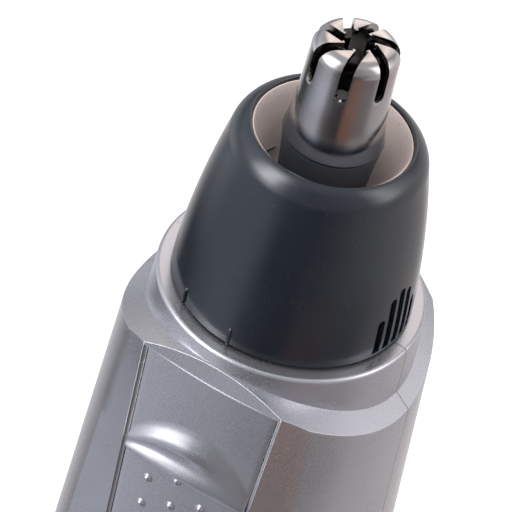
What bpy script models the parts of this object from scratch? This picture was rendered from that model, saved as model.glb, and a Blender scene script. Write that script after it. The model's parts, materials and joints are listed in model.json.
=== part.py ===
"""Cordless nose hair trimmer with a suction head, one AA cell and a slide switch.

The trimmer stands on its base: origin at the base's centre, +Z up to the blade tip,
front (the switch) towards -Y. Lengths below are millimetres; meshes are written in metres.
"""
import math

import bmesh
import bpy
from mathutils import Matrix, Vector

MM = 0.001
GAP = 0.3                     # clearance between neighbours

# Body section, seen from above: flat panel, two facets and round sides, front and back alike.
SEAM_Y = -0.7                 # parting plane of the two shells, the body's own centre
SIDE = 15.14                  # half width at the shoulder
PANEL_Y = 13.65               # panel's distance from the parting plane
PANEL_X = 7.7                 # half width of the front panel
FACET_X = 10.1                # outer edge of a front facet
FACET_Y = 12.12
BACK_PANEL_X = 8.0
BACK_FACET_X = 10.9
SHOULDER_Z = 101.7
SWELL_SLOPE = 0.0625          # outward growth per millimetre below the shoulder
SWELL_MAX = 2.75
SWELL_MAX_Z = 50.0
SWELL_STRAIGHT_Z = 65.0       # the growth is straight above this height
BASE_SWELL = -1.0             # the base is this much narrower than the shoulder
BASE_SWELL_SLOPE = -5.5       # how fast it narrows there, over the height of the lower curve
PANEL_NARROWING = 0.45        # the panel loses this share of the growth at each edge
CORNER_X_GROWTH = 0.98        # a facet's outer edge follows the growth by these shares
CORNER_Y_GROWTH = 0.95

# Crowned shoulder and the collar on it.
CROWN_TOP = 102.97
CROWN_RADIUS = 23.3           # the shoulder is part of a cylinder along Y
COLLAR_FOOT_R = 13.78
COLLAR_R = 13.48
COLLAR_TOP = 104.3
COLLAR_ROUND = 0.42
BORE_R = 11.4
BORE_FLOOR = 99.5
LOWER_BORE_R = 10.2
BORE_FOOT = 96.9
BORE_OVER = 106.0             # cutters of the bore reach above the collar to here

# Shells.
WALL_SCALE = 0.88             # inside of the wall, as a share of the outer section
FRONT_WALL_SCALE = 0.758      # the front wall is thicker, for the switch's recess
SHELL_FOOT = 48.8
DECK_Z = 97.2                 # underside of the shoulder deck
SEAM_HALF_GAP = 0.15
SHELL_LEVELS = (SHELL_FOOT, 53.0, 58.0, SWELL_STRAIGHT_Z, 80.0, 94.0)
CAVITY_LEVELS = (40.0, SWELL_MAX_Z, 58.0, SWELL_STRAIGHT_Z, 80.0, DECK_Z)
FRONT_POST_R = 2.0            # screw posts inside the two shells
REAR_POST_R = 2.9
SCREW_HOLE_R = 1.1
SCREW_SINK_R = 2.0
OUTSIDE_Y = 20.0              # a distance from the axis that is outside the body

# Power switch: a plate in a recess of the front panel.
GROOVE = 0.42                 # gap at each side of the plate
PLATE_THICK = 1.2
PLATE_TOP = 101.0
PLATE_SMILE = 0.7             # the plate's top edge rises this much towards its corners
PLATE_FOOT = 62.0
PLATE_MIDDLE = 74.0
SWITCH_TRAVEL = 2.5
RECESS_SPARE = 0.4            # room left below the plate at the end of its travel
RECESS_REACH = 3.0            # the recess cutter stands this far in front of the panel
SWITCH_SLOT = ((-2.6, -16.0, 80.0), (2.6, -10.0, 87.8))
SWITCH_STEM = ((-2.0, -14.8, 83.0), (2.0, -11.2, 87.0))
RIDGE_TOP = 94.6
RIDGE_CREST = 91.0
RIDGE_FOOT = 87.9
RIDGE_HEIGHT = 1.1
RIDGE_FOOT_DROP = 0.45        # share of its height that the ridge loses from crest to foot
LENS_LEAN = 0.20              # the bevel above the plate leans back this much per millimetre
DOT_R = 0.45
DOT_HEIGHT = 0.36
DOT_ROWS = 6
DOT_ROW_PITCH = 3.6
DOT_ROW_Z = 85.5
DOT_X_PITCH = 3.1
DOT_RISE = 1.8                # the middle dot of a row stands this much higher
DOT_SHIFT = -0.6

# Head.
NECK_TOP = 123.7
HEAD_FOOT = COLLAR_TOP + GAP
HEAD_FOOT_R = 12.06
HEAD_TOP_R = 9.57             # head's radius where its rim begins to round
HEAD_TOP_Z = NECK_TOP - 2.06
HEAD_BULGE = 1.5
HEAD_RIM_R = 7.66
RIM_CENTRE = (6.45, NECK_TOP - 2.5)
RIM_ROUND_R = 3.15
SPIGOT_FOOT = 101.4
SPIGOT_R = 11.0
RING_GROOVE_R = 9.95          # groove of the head's sealing ring
SPIGOT_INNER_R = 9.3
TIP_TOP = NECK_TOP + 11.0
SLOT_COUNT = 7
SLOT_WIDTH = 1.06
SLOT_OFFSET = 0.87            # a slot's middle passes this far beside the axis
SLOT_FOOT = NECK_TOP + 6.95
SLOT_TURN = -86.0
BLADE_R = 4.1                 # outer blade below its rounded top
BLADE_FOOT_R = 4.84
BLADE_CREASE_R = 4.42         # top of the flared foot
BLADE_CREASE_Z = NECK_TOP + 2.4
BLADE_EDGE = 1.35
BLADE_WALL = 0.35
BLADE_EYE_R = 1.45            # opening in the middle of the top
INNER_R = 3.3
INNER_FOOT_R = 3.4
INNER_FOOT = NECK_TOP + 2.9
INNER_EDGE = 1.1
INNER_DROP = 0.7              # the inner blade's top lies this much lower
INNER_EYE_R = 1.3
INNER_SLOTS = 4
INNER_SLOT_WIDTH = 1.5
VENT_WIDTH = 0.9
VENT_PITCH = 6.4
VENT_MIDDLE = -5.9            # direction of the middle vent on the +X side, in degrees
VENT_HEIGHTS = (4.4, 6.4, 7.0, 6.4, 4.4)
VENT_FOOT = HEAD_FOOT + 0.35

# Battery, its bay and the cover.
CELL_R = 7.2
CELL_FOOT = 5.9
CELL_TOP = 55.0
TERMINAL_TOP = 56.4
BAY_R = 7.6
BAY_WALL_R = 9.3
BAY_FOOT = 7.5
BAY_TOP = 58.8
COVER_TOP = 47.4
COVER_FLOOR = 2.4
TONGUE_TOP = 52.0
TONGUE_OUTSIDE = (0.857, 0.735)   # shares of the outer section: all round, and at the front
TONGUE_INSIDE = (0.765, 0.67)
TONGUE_ROOT = 45.0
COVER_INSIDE_TOP = 43.5
BASE_EDGE = ((0.0, 0.93), (0.45, 0.972), (1.5, 0.995))   # rounded foot: height, share of the section
COVER_LEVELS = (5.0, 12.0, 22.0, 34.0, COVER_TOP)
SEAL_OUTSIDE = (0.955, 0.955)
SEAL_INSIDE = (0.895, 0.86)

# Motor and drive line.
MOTOR_R = 10.0
MOTOR_FLAT = 7.5
MOTOR_FOOT = 66.0
MOTOR_TOP = 91.0
SHAFT_R = 1.0
MOTOR_SHAFT_R = 0.75
SHAFT_FOOT = 97.0
SHAFT_TOP = 125.9
LEAD_R = 0.5

# Screws that join the shells, as (name, x, z).
SCREW_HEAD_Y = 6.3
SCREWS = (
    ("upper_left", -8.5, 94.6), ("upper_right", 8.5, 94.6),
    ("lower_left", -12.2, 55.3), ("lower_right", 12.2, 55.3),
)

FINISHES = {
    # name: (colour, roughness, metallic)
    "silver_paint": ((0.30, 0.30, 0.33), 0.36, 0.75),
    "satin_silver": ((0.52, 0.46, 0.42), 0.40, 0.80),
    "slate_plastic": ((0.035, 0.042, 0.055), 0.22, 0.0),
    "blade_steel": ((0.42, 0.41, 0.42), 0.18, 1.0),
    "black_plastic": ((0.02, 0.02, 0.022), 0.45, 0.0),
    "white_plastic": ((0.70, 0.70, 0.68), 0.40, 0.0),
    "plated_steel": ((0.55, 0.55, 0.56), 0.28, 1.0),
    "brass": ((0.62, 0.45, 0.18), 0.30, 1.0),
    "rubber": ((0.015, 0.015, 0.016), 0.75, 0.0),
    "cell_wrap": ((0.05, 0.12, 0.20), 0.35, 0.0),
    "red_insulation": ((0.45, 0.02, 0.02), 0.45, 0.0),
    "mesh_steel": ((0.45, 0.45, 0.45), 0.35, 1.0),
}


# ---------------------------------------------------------------- tools

def clear_scene():
    for obj in list(bpy.data.objects):
        bpy.data.objects.remove(obj, do_unlink=True)


def finish_material(finish):
    material = bpy.data.materials.get(finish)
    if material is None:
        colour, roughness, metallic = FINISHES[finish]
        material = bpy.data.materials.new(finish)
        material.use_nodes = True
        shader = material.node_tree.nodes["Principled BSDF"]
        shader.inputs["Base Color"].default_value = (*colour, 1.0)
        shader.inputs["Roughness"].default_value = roughness
        shader.inputs["Metallic"].default_value = metallic
        material.diffuse_color = (*colour, 1.0)
    return material


def make_object(name, bm, finish):
    """Turn a closed bmesh in millimetres into a smooth-shaded object in metres."""
    bmesh.ops.recalc_face_normals(bm, faces=bm.faces)
    bmesh.ops.scale(bm, vec=Vector((MM, MM, MM)), verts=bm.verts)
    mesh = bpy.data.meshes.new(name)
    bm.to_mesh(mesh)
    bm.free()
    mesh.shade_smooth()
    mesh.set_sharp_from_angle(angle=math.radians(35))
    obj = bpy.data.objects.new(name, mesh)
    bpy.context.collection.objects.link(obj)
    if finish:
        mesh.materials.append(finish_material(finish))
    else:
        obj.hide_render = True
        obj.display_type = "WIRE"
    return obj


def add_rings(bm, rings, closed=False):
    """Skin a list of equal rings of 3-D points; the ends are capped unless closed."""
    loops = [[bm.verts.new(point) for point in ring] for ring in rings]
    count = len(loops[0])
    pairs = list(zip(loops, loops[1:]))
    if closed:
        pairs.append((loops[-1], loops[0]))
    for lower, upper in pairs:
        for i in range(count):
            j = (i + 1) % count
            bm.faces.new((lower[i], lower[j], upper[j], upper[i]))
    if not closed:
        bm.faces.new(loops[0][::-1])
        bm.faces.new(loops[-1])


def loft(name, rings, finish=None, closed=False):
    bm = bmesh.new()
    add_rings(bm, rings, closed)
    return make_object(name, bm, finish)


def lathe(name, profile, segments, finish=None):
    """Turn a closed (radius, z) outline about Z; points with radius 0 become poles."""
    bm = bmesh.new()
    turns = [2 * math.pi * k / segments for k in range(segments)]
    columns = []
    for radius, z in profile:
        if radius == 0:
            columns.append([bm.verts.new((0, 0, z))] * segments)
        else:
            columns.append([bm.verts.new((radius * math.cos(a), radius * math.sin(a), z)) for a in turns])
    for first, second in zip(columns, columns[1:] + columns[:1]):
        for i in range(segments):
            j = (i + 1) % segments
            corners = list(dict.fromkeys((first[i], first[j], second[j], second[i])))
            if len(corners) > 2:
                bm.faces.new(corners)
    return make_object(name, bm, finish)


def prism(name, outline, z0, z1, finish=None):
    return loft(name, [[(x, y, z) for x, y in outline] for z in (z0, z1)], finish)


def add_box(bm, low, high):
    corners = [(low[0], low[1]), (high[0], low[1]), (high[0], high[1]), (low[0], high[1])]
    add_rings(bm, [[(x, y, z) for x, y in corners] for z in (low[2], high[2])])


def box(name, low, high, finish=None):
    bm = bmesh.new()
    add_box(bm, low, high)
    return make_object(name, bm, finish)


def arc(cx, cz, radius, start, end, steps):
    """Points on an arc in the (radius, z) plane, angles in degrees."""
    angles = [math.radians(start + (end - start) * k / steps) for k in range(steps + 1)]
    return [(cx + radius * math.cos(a), cz + radius * math.sin(a)) for a in angles]


def along_y(name, x, z, profile, segments, finish=None):
    """Turn a closed (radius, y) outline about a line along Y through (x, z)."""
    obj = lathe(name, profile, segments, finish)
    obj.data.transform(Matrix.Rotation(math.radians(-90), 4, "X"))
    obj.data.transform(Matrix.Translation(Vector((x, 0, z)) * MM))
    return obj


def boolean(target, operation, tools):
    for tool in tools:
        modifier = target.modifiers.new(tool.name, "BOOLEAN")
        modifier.operation = operation
        modifier.solver = "EXACT"
        modifier.object = tool


def cut(target, *tools):
    boolean(target, "DIFFERENCE", tools)


def fuse(target, *tools):
    boolean(target, "UNION", tools)


def coil_rings(radius, z, wire, turns, steps_per_turn, sides):
    """Rings of a helix wire; radius and z are functions of the share of its length."""
    rings = []
    count = int(turns * steps_per_turn)
    for k in range(count + 1):
        share = k / count
        turn = 2 * math.pi * turns * share
        out = Vector((math.cos(turn), math.sin(turn), 0))
        centre = out * radius(share) + Vector((0, 0, z(share)))
        ring = []
        for i in range(sides):
            a = 2 * math.pi * i / sides
            ring.append(centre + out * (wire * math.cos(a)) + Vector((0, 0, wire * math.sin(a))))
        rings.append(ring)
    return rings


def lead(name, points, finish):
    """An insulated lead along a smooth line through the points."""
    curve = bpy.data.curves.new(name, "CURVE")
    curve.dimensions = "3D"
    curve.bevel_depth = LEAD_R * MM
    curve.bevel_resolution = 1
    curve.use_fill_caps = True
    ends = [points[0]] + list(points) + [points[-1]]
    route = []
    for a, b, c, d in zip(ends, ends[1:], ends[2:], ends[3:]):
        for k in range(3):
            route.append(between(Vector(a), Vector(b), Vector(c), Vector(d), k / 3))
    route.append(Vector(points[-1]))
    spline = curve.splines.new("POLY")
    spline.points.add(len(route) - 1)
    for point, place in zip(spline.points, route):
        point.co = (*(place * MM), 1)
    curve.materials.append(finish_material(finish))
    obj = bpy.data.objects.new(name, curve)
    bpy.context.collection.objects.link(obj)
    return obj


def between(a, b, c, d, t):
    """A point of the smooth curve from b to c whose neighbours are a and d."""
    square = (2 * a - 5 * b + 4 * c - d) * t ** 2
    cube = (3 * b - a - 3 * c + d) * t ** 3
    return 0.5 * (2 * b + (c - a) * t + square + cube)


# ---------------------------------------------------------------- the body's section

def hermite(t, start, slope_in, end, slope_out):
    t2 = t * t
    t3 = t2 * t
    return ((2 * t3 - 3 * t2 + 1) * start + (t3 - 2 * t2 + t) * slope_in
            + (3 * t2 - 2 * t3) * end + (t3 - t2) * slope_out)


def swell(z):
    """How much the body is wider than at its shoulder, each way."""
    if z >= SWELL_STRAIGHT_Z:
        return SWELL_SLOPE * (SHOULDER_Z - z)
    edge = SWELL_SLOPE * (SHOULDER_Z - SWELL_STRAIGHT_Z)
    if z >= SWELL_MAX_Z:
        span = SWELL_STRAIGHT_Z - SWELL_MAX_Z
        return hermite((SWELL_STRAIGHT_Z - z) / span, edge, SWELL_SLOPE * span, SWELL_MAX, 0.0)
    return hermite((SWELL_MAX_Z - z) / SWELL_MAX_Z, SWELL_MAX, 0.0, BASE_SWELL, BASE_SWELL_SLOPE)


def panel_half_width(z):
    return PANEL_X - PANEL_NARROWING * max(swell(z), 0.0)


def front_y(z):
    return SEAM_Y - PANEL_Y - swell(z)


def smile(x):
    """Height of the line between the switch plate and the bevel above it."""
    return PLATE_TOP + PLATE_SMILE * (x / PANEL_X) ** 2


def crown(x):
    return CROWN_TOP - CROWN_RADIUS + math.sqrt(CROWN_RADIUS ** 2 - x * x)


def quarter(z, panel_x, facet_x, steps=5):
    """Points (x, distance from the parting plane) from the side to the panel's middle."""
    grow = swell(z)
    side = SIDE + grow
    corner = (facet_x + CORNER_X_GROWTH * grow, FACET_Y + CORNER_Y_GROWTH * grow)
    # A circle with its centre on the parting plane, through the side and the facet's edge.
    centre = (corner[0] ** 2 + corner[1] ** 2 - side ** 2) / (2 * (corner[0] - side))
    radius = side - centre
    end = math.atan2(corner[1], corner[0] - centre)
    points = []
    for k in range(steps + 1):
        a = end * k / steps
        points.append((centre + radius * math.cos(a), radius * math.sin(a)))
    flat = PANEL_Y + grow
    width = panel_x - PANEL_NARROWING * max(grow, 0.0)
    points += [(width, flat), (0.5 * width, flat), (0.0, flat)]
    return points


def half_section(z, front, seam_gap=0.0, scale=(1.0, 1.0)):
    """Half of the section, from the +X side round to the -X side."""
    if front:
        points = quarter(z, PANEL_X, FACET_X)
        sign = -1
    else:
        points = quarter(z, BACK_PANEL_X, BACK_FACET_X)
        sign = 1
    points = points + [(-x, y) for x, y in reversed(points[:-1])]
    last = len(points) - 1
    result = []
    for k, (x, y) in enumerate(points):
        away = seam_gap if k in (0, last) else max(y * scale[1], seam_gap)
        result.append((x * scale[0], SEAM_Y + sign * away, z))
    return result


def full_section(z, scale=1.0, front_scale=None):
    front = half_section(z, True, scale=(scale, front_scale or scale))
    back = half_section(z, False, scale=(scale, scale))
    return front + back[-2:0:-1]


def crown_point(index, front):
    """Where the side of the body meets the crowned shoulder."""
    z = SHOULDER_Z
    for _ in range(6):
        x, y, _z = half_section(z, front, SEAM_HALF_GAP)[index]
        z = crown(x)
    if front and abs(x) < PANEL_X + 0.01:
        y += LENS_LEAN * max(z - smile(x), 0.0)
    return x, y, z


def collar_point(point, radius, z=None):
    """The point of a collar circle in the direction of a shoulder point."""
    x, y, _z = point
    if abs(y - SEAM_Y) < 0.2:
        x = math.copysign(math.sqrt(radius ** 2 - y * y), x)
    else:
        length = math.hypot(x, y)
        x, y = x * radius / length, y * radius / length
    return x, y, crown(x) if z is None else z


def shell_block(name, front):
    """Outside of one shell as a solid: body, crowned shoulder and half of the collar."""
    rings = [half_section(z, front, SEAM_HALF_GAP) for z in SHELL_LEVELS]
    count = len(rings[0])
    edge = [crown_point(i, front) for i in range(count)]
    under = []
    for x, y, z in edge:
        if front and abs(x) < PANEL_X + 0.01:
            z = smile(x)
            under.append((x, front_y(z), z))
        else:
            under.append((x, y, z - 0.6))
    foot = [collar_point(point, COLLAR_FOOT_R) for point in edge]
    middle = [((a[0] + b[0]) / 2, (a[1] + b[1]) / 2, crown((a[0] + b[0]) / 2)) for a, b in zip(edge, foot)]
    side = [collar_point(point, COLLAR_R, COLLAR_TOP - COLLAR_ROUND) for point in edge]
    top = [collar_point(point, COLLAR_R - COLLAR_ROUND, COLLAR_TOP) for point in edge]
    rings += [under, edge, middle, foot, side, top]
    return loft(name, rings, "silver_paint")


def cavity_cutter(side, post_radius):
    """The hollow of the shells without the screw posts that cross it."""
    sections = [full_section(z, WALL_SCALE, FRONT_WALL_SCALE) for z in CAVITY_LEVELS]
    hollow = loft(f"{side}_cavity_cut", sections)
    for name, x, z in SCREWS:
        cut(hollow, along_y(f"{side}_post_{name}", x, z, [
            (0, -OUTSIDE_Y), (post_radius, -OUTSIDE_Y), (post_radius, OUTSIDE_Y), (0, OUTSIDE_Y)], 12))
    return hollow


def bore_cutter(name):
    return lathe(name, [(0, BORE_FOOT), (LOWER_BORE_R, BORE_FOOT), (LOWER_BORE_R, BORE_FLOOR),
                        (BORE_R, BORE_FLOOR), (BORE_R, BORE_OVER), (0, BORE_OVER)], 32)


# ---------------------------------------------------------------- shells and cover

def plate_grid(columns, levels, half_width, foot, top, surface, back):
    """Rings of a slab that follows the front panel: one ring for each level."""
    rings = []
    for share in levels:
        line = []
        for u in columns:
            z = foot(u) + (top(u) - foot(u)) * share
            line.append((u * half_width(z), z))
        outer = [(x, surface(x, z), z) for x, z in line]
        inner = [(x, back(z), z) for x, z in reversed(line)]
        rings.append(outer + inner)
    return rings


def recess_cutter(name):
    columns = [-1.0, -0.6, -0.2, 0.2, 0.6, 1.0]
    levels = [0.0, 0.35, 0.7, 1.0]
    return loft(name, plate_grid(
        columns, levels, panel_half_width,
        lambda u: PLATE_FOOT - SWITCH_TRAVEL - RECESS_SPARE, lambda u: smile(u * PANEL_X) + GAP / 2,
        lambda x, z: front_y(z) - RECESS_REACH, lambda z: front_y(z) + PLATE_THICK + GAP))


def front_shell():
    shell = shell_block("front_shell", True)
    cut(shell, cavity_cutter("front", FRONT_POST_R))
    for name, x, z in SCREWS:
        cut(shell, along_y(f"front_hole_{name}", x, z, [
            (0, -8.0), (SCREW_HOLE_R, -8.0), (SCREW_HOLE_R, 1.0), (0, 1.0)], 10))
    cut(shell, bore_cutter("front_bore_cut"), recess_cutter("switch_recess_cut"))
    cut(shell, box("switch_slot_cut", *SWITCH_SLOT))
    return shell


def rear_shell():
    shell = shell_block("rear_shell", False)
    cut(shell, cavity_cutter("rear", REAR_POST_R))
    head = SCREW_HEAD_Y - GAP
    for name, x, z in SCREWS:
        cut(shell, along_y(f"rear_hole_{name}", x, z, [
            (0, -3.0), (SCREW_HOLE_R, -3.0), (SCREW_HOLE_R, head), (SCREW_SINK_R, head),
            (SCREW_SINK_R, OUTSIDE_Y), (0, OUTSIDE_Y)], 10))
    cut(shell, bore_cutter("rear_bore_cut"))
    return shell


def battery_cover():
    outside = [full_section(z, share) for z, share in BASE_EDGE]
    outside += [full_section(z) for z in COVER_LEVELS]
    tongue = [full_section(COVER_TOP, *TONGUE_OUTSIDE), full_section(TONGUE_TOP, *TONGUE_OUTSIDE),
              full_section(TONGUE_TOP, *TONGUE_INSIDE), full_section(TONGUE_ROOT, *TONGUE_INSIDE)]
    inside = [full_section(z, WALL_SCALE) for z in (COVER_INSIDE_TOP, 30.0, 15.0, COVER_FLOOR)]
    return loft("battery_cover", outside + tongue + inside, "silver_paint")


def cover_seal():
    low, high = COVER_TOP + GAP, SHELL_FOOT - GAP
    rings = [full_section(low, *SEAL_OUTSIDE), full_section(high, *SEAL_OUTSIDE),
             full_section(high, *SEAL_INSIDE), full_section(low, *SEAL_INSIDE)]
    return loft("cover_seal", rings, "rubber", closed=True)


# ---------------------------------------------------------------- switch

def ridge(x, z):
    """How far the thumb ridge stands proud of the switch plate."""
    if z <= RIDGE_FOOT or z >= RIDGE_TOP:
        return 0.0
    across = max(1.0 - (x / PANEL_X) ** 2, 0.0) ** 0.6
    if z > RIDGE_CREST:
        share = (RIDGE_TOP - z) / (RIDGE_TOP - RIDGE_CREST)
        rise = share * share * (3 - 2 * share)
    else:
        rise = 1.0 - RIDGE_FOOT_DROP * ((RIDGE_CREST - z) / (RIDGE_CREST - RIDGE_FOOT)) ** 2
    return RIDGE_HEIGHT * across * rise


def power_switch():
    columns = [-1.0, -0.8, -0.4, 0.0, 0.4, 0.8, 1.0]
    fall = RIDGE_TOP - RIDGE_CREST
    heights = [PLATE_FOOT, PLATE_MIDDLE, RIDGE_FOOT - 0.15, RIDGE_FOOT + 0.02, (RIDGE_FOOT + RIDGE_CREST) / 2]
    heights += [RIDGE_CREST + fall * share for share in (0.0, 0.2, 0.45, 0.7, 1.0)] + [PLATE_TOP]
    levels = [(z - PLATE_FOOT) / (PLATE_TOP - PLATE_FOOT) for z in heights]
    plate = loft("power_switch", plate_grid(
        columns, levels, lambda z: panel_half_width(z) - GROOVE,
        lambda u: PLATE_FOOT, lambda u: PLATE_TOP - GAP / 2,
        lambda x, z: front_y(z) - ridge(x, z), lambda z: front_y(z) + PLATE_THICK), "silver_paint")
    fuse(plate, box("switch_stem_add", *SWITCH_STEM))
    fuse(plate, dots())
    return plate


def dots():
    """Raised grip dots in arched rows of three, as one tool."""
    bm = bmesh.new()
    for row in range(DOT_ROWS):
        for column in (-1, 0, 1):
            x = column * DOT_X_PITCH + DOT_SHIFT
            z = DOT_ROW_Z - row * DOT_ROW_PITCH + DOT_RISE * (1 - abs(column))
            turns = [2 * math.pi * k / 6 for k in range(6)]
            rings = []
            for radius, out in ((DOT_R, 0.4), (DOT_R, -0.1), (DOT_R * 0.4, -DOT_HEIGHT)):
                y = front_y(z) + out
                rings.append([(x + radius * math.cos(a), y, z + radius * math.sin(a)) for a in turns])
            add_rings(bm, rings)
    return make_object("grip_dots_add", bm, None)


def switch_works():
    box("switch_carriage", (-4.2, -10.9, 79.5), (4.2, -9.9, 90.5), "black_plastic")
    box("switch_moving_contact", (-3.2, -9.6, 82.0), (3.2, -9.3, 88.0), "brass")
    box("switch_contact_left", (-3.0, -8.7, 83.5), (-1.2, -8.4, 90.0), "brass")
    box("switch_contact_right", (1.2, -8.7, 83.5), (3.0, -8.4, 90.0), "brass")


# ---------------------------------------------------------------- head

def head_side():
    """Outline of the head's outside from its foot to the crest of the rim."""
    points = []
    for k in range(5):
        t = k / 4
        radius = HEAD_FOOT_R * (1 - t) + HEAD_TOP_R * t + HEAD_BULGE * t * (1 - t)
        points.append((radius, HEAD_FOOT * (1 - t) + HEAD_TOP_Z * t))
    return points


def vent_tools():
    """Ten arched slots through the head's foot, five on each side."""
    bm = bmesh.new()
    half = VENT_WIDTH / 2
    for mirror in (1, -1):
        for k, height in enumerate(VENT_HEIGHTS):
            angle = math.radians(VENT_MIDDLE + (k - 2) * VENT_PITCH)
            out = Vector((mirror * math.cos(angle), math.sin(angle), 0))
            across = Vector((-out.y, out.x, 0))
            low, high = VENT_FOOT, HEAD_FOOT + height - half
            outline = [(-half, low), (half, low)]
            outline += [(half * math.cos(a), high + half * math.sin(a)) for a in
                        [math.pi * i / 3 for i in range(4)]]
            rings = []
            for reach in (10.4, 13.0):
                rings.append([out * reach + across * s + Vector((0, 0, z)) for s, z in outline])
            add_rings(bm, rings)
    return make_object("vent_cut", bm, None)


def head_cover():
    outer = head_side()
    crest = arc(*RIM_CENTRE, RIM_ROUND_R, 8, 62, 4)[1:]
    inner = [(HEAD_RIM_R, NECK_TOP + 0.05), (HEAD_RIM_R, NECK_TOP - 0.5),
             (8.3, NECK_TOP - 2.0), (9.75, 114.0), (10.65, 106.3), (SPIGOT_INNER_R, 105.7),
             (SPIGOT_INNER_R, SPIGOT_FOOT)]
    spigot = [(SPIGOT_R, SPIGOT_FOOT), (SPIGOT_R, 102.4), (RING_GROOVE_R, 102.4), (RING_GROOVE_R, 103.8),
              (SPIGOT_R, 103.8), (SPIGOT_R, HEAD_FOOT)]
    cover = lathe("head_cover", outer + crest + inner + spigot, 36, "slate_plastic")
    cut(cover, vent_tools())
    return cover


def head_seal():
    return lathe("head_seal", arc(10.65, 103.1, 0.4, 0, 300, 5), 24, "rubber")


def intake_funnel():
    return lathe("intake_funnel", [
        (7.36, NECK_TOP - 0.25), (7.2, NECK_TOP - 0.12), (6.1, 120.3), (5.1, 117.3), (4.72, 116.9),
        (5.6, 116.9), (6.6, 119.6), (8.0, 119.8), (8.0, 120.6), (7.1, 121.4)], 32, "satin_silver")


def blade_neck():
    return lathe("blade_neck", [
        (3.95, NECK_TOP + 1.1), (3.95, NECK_TOP - 0.2), (4.75, NECK_TOP - 0.2), (4.7, NECK_TOP - 0.8),
        (4.4, NECK_TOP - 3.4), (4.32, 118.6), (4.32, 116.5), (5.9, 116.5), (5.9, 115.4), (3.6, 115.4),
        (3.6, NECK_TOP + 1.1)], 28, "slate_plastic")


def blade_slot(name, turn, offset, width, foot, near, far, top):
    """A slot cutter with a round foot that runs outward beside the axis."""
    half = width / 2
    out = Vector((math.cos(turn), math.sin(turn), 0))
    across = Vector((-out.y, out.x, 0))
    outline = [(half, top), (-half, top)]
    outline += [(-half * math.cos(a), foot + half - half * math.sin(a)) for a in
                [math.pi * i / 3 for i in range(4)]]
    rings = []
    for reach in (near, far):
        rings.append([out * reach + across * (offset + s) + Vector((0, 0, z)) for s, z in outline])
    return loft(name, rings)


def blade_cup(name, foot, crease, radius, edge, top, eye, wall, segments):
    """A thin cup with a rounded top edge and an eye in its top; foot and crease are (radius, z)."""
    outside = [foot, crease] + arc(radius - edge, top - edge, edge, 3, 90, 3)
    inside = arc(radius - edge, top - edge, edge - wall, 90, 3, 2)
    profile = outside + [(eye, top), (eye, top - wall)] + inside
    profile += [(crease[0] - wall, crease[1]), (foot[0] - wall, foot[1])]
    return lathe(name, list(dict.fromkeys(profile)), segments, "blade_steel")


def outer_blade():
    blade = blade_cup("outer_blade", (BLADE_FOOT_R, NECK_TOP), (BLADE_CREASE_R, BLADE_CREASE_Z),
                      BLADE_R, BLADE_EDGE, TIP_TOP, BLADE_EYE_R, BLADE_WALL, 35)
    for k in range(SLOT_COUNT):
        turn = math.radians(SLOT_TURN + 360 * k / SLOT_COUNT)
        cut(blade, blade_slot(f"outer_slot_cut_{k + 1}", turn, SLOT_OFFSET, SLOT_WIDTH, SLOT_FOOT,
                              1.0, 7.0, TIP_TOP + 2.0))
    return blade


def inner_blade():
    foot = (INNER_FOOT_R, INNER_FOOT)
    top = TIP_TOP - INNER_DROP
    blade = blade_cup("inner_blade", foot, foot, INNER_R, INNER_EDGE, top, INNER_EYE_R, BLADE_WALL, 24)
    for k in range(INNER_SLOTS):
        turn = math.radians(20 + 360 * k / INNER_SLOTS)
        cut(blade, blade_slot(f"inner_slot_cut_{k + 1}", turn, 0.0, INNER_SLOT_WIDTH,
                              NECK_TOP + 4.6, 0.9, 5.0, top + 1.0))
    return blade


# ---------------------------------------------------------------- drive line

def drive_line():
    lathe("inner_blade_holder", [
        (1.3, 121.6), (2.3, 121.6), (2.3, 124.8), (3.1, 124.8), (3.1, 126.3), (1.3, 126.3)],
        16, "white_plastic")
    loft("blade_spring", coil_rings(lambda t: 1.9, lambda t: 114.6 + 6.4 * t, 0.25, 4, 8, 4), "plated_steel")
    lathe("drive_shaft", [
        (0, SHAFT_FOOT), (SHAFT_R, SHAFT_FOOT), (SHAFT_R, 113.3), (2.3, 113.3), (2.3, 114.0),
        (SHAFT_R, 114.0), (SHAFT_R, SHAFT_TOP - 0.3), (SHAFT_R - 0.3, SHAFT_TOP), (0, SHAFT_TOP)],
        14, "plated_steel")
    lathe("shaft_coupling", [
        (1.05, 93.0), (2.6, 93.0), (2.6, 99.2), (1.3, 99.2), (1.3, 96.8), (1.05, 96.8)], 16, "white_plastic")
    lathe("shaft_bush", [
        (1.3, 99.9), (2.2, 99.9), (2.2, 101.3), (3.3, 101.3), (3.3, 102.1), (1.3, 102.1)], 16, "brass")


def impeller():
    wheel = lathe("impeller", [
        (1.3, 103.0), (7.9, 103.0), (7.9, 103.8), (2.3, 103.8), (2.0, 109.4), (1.3, 109.4)],
        24, "black_plastic")
    bm = bmesh.new()
    for k in range(8):
        turn = Matrix.Rotation(2 * math.pi * k / 8, 3, "Z")
        rings = []
        for z in (103.4, 108.8):
            corners = [(1.8, -0.35), (4.6, 0.1), (7.6, 1.6), (7.4, 2.3), (4.5, 0.85), (1.8, 0.35)]
            rings.append([turn @ Vector((x, y, z)) for x, y in corners])
        add_rings(bm, rings)
    fuse(wheel, make_object("impeller_blades_add", bm, None))
    return wheel


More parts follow.
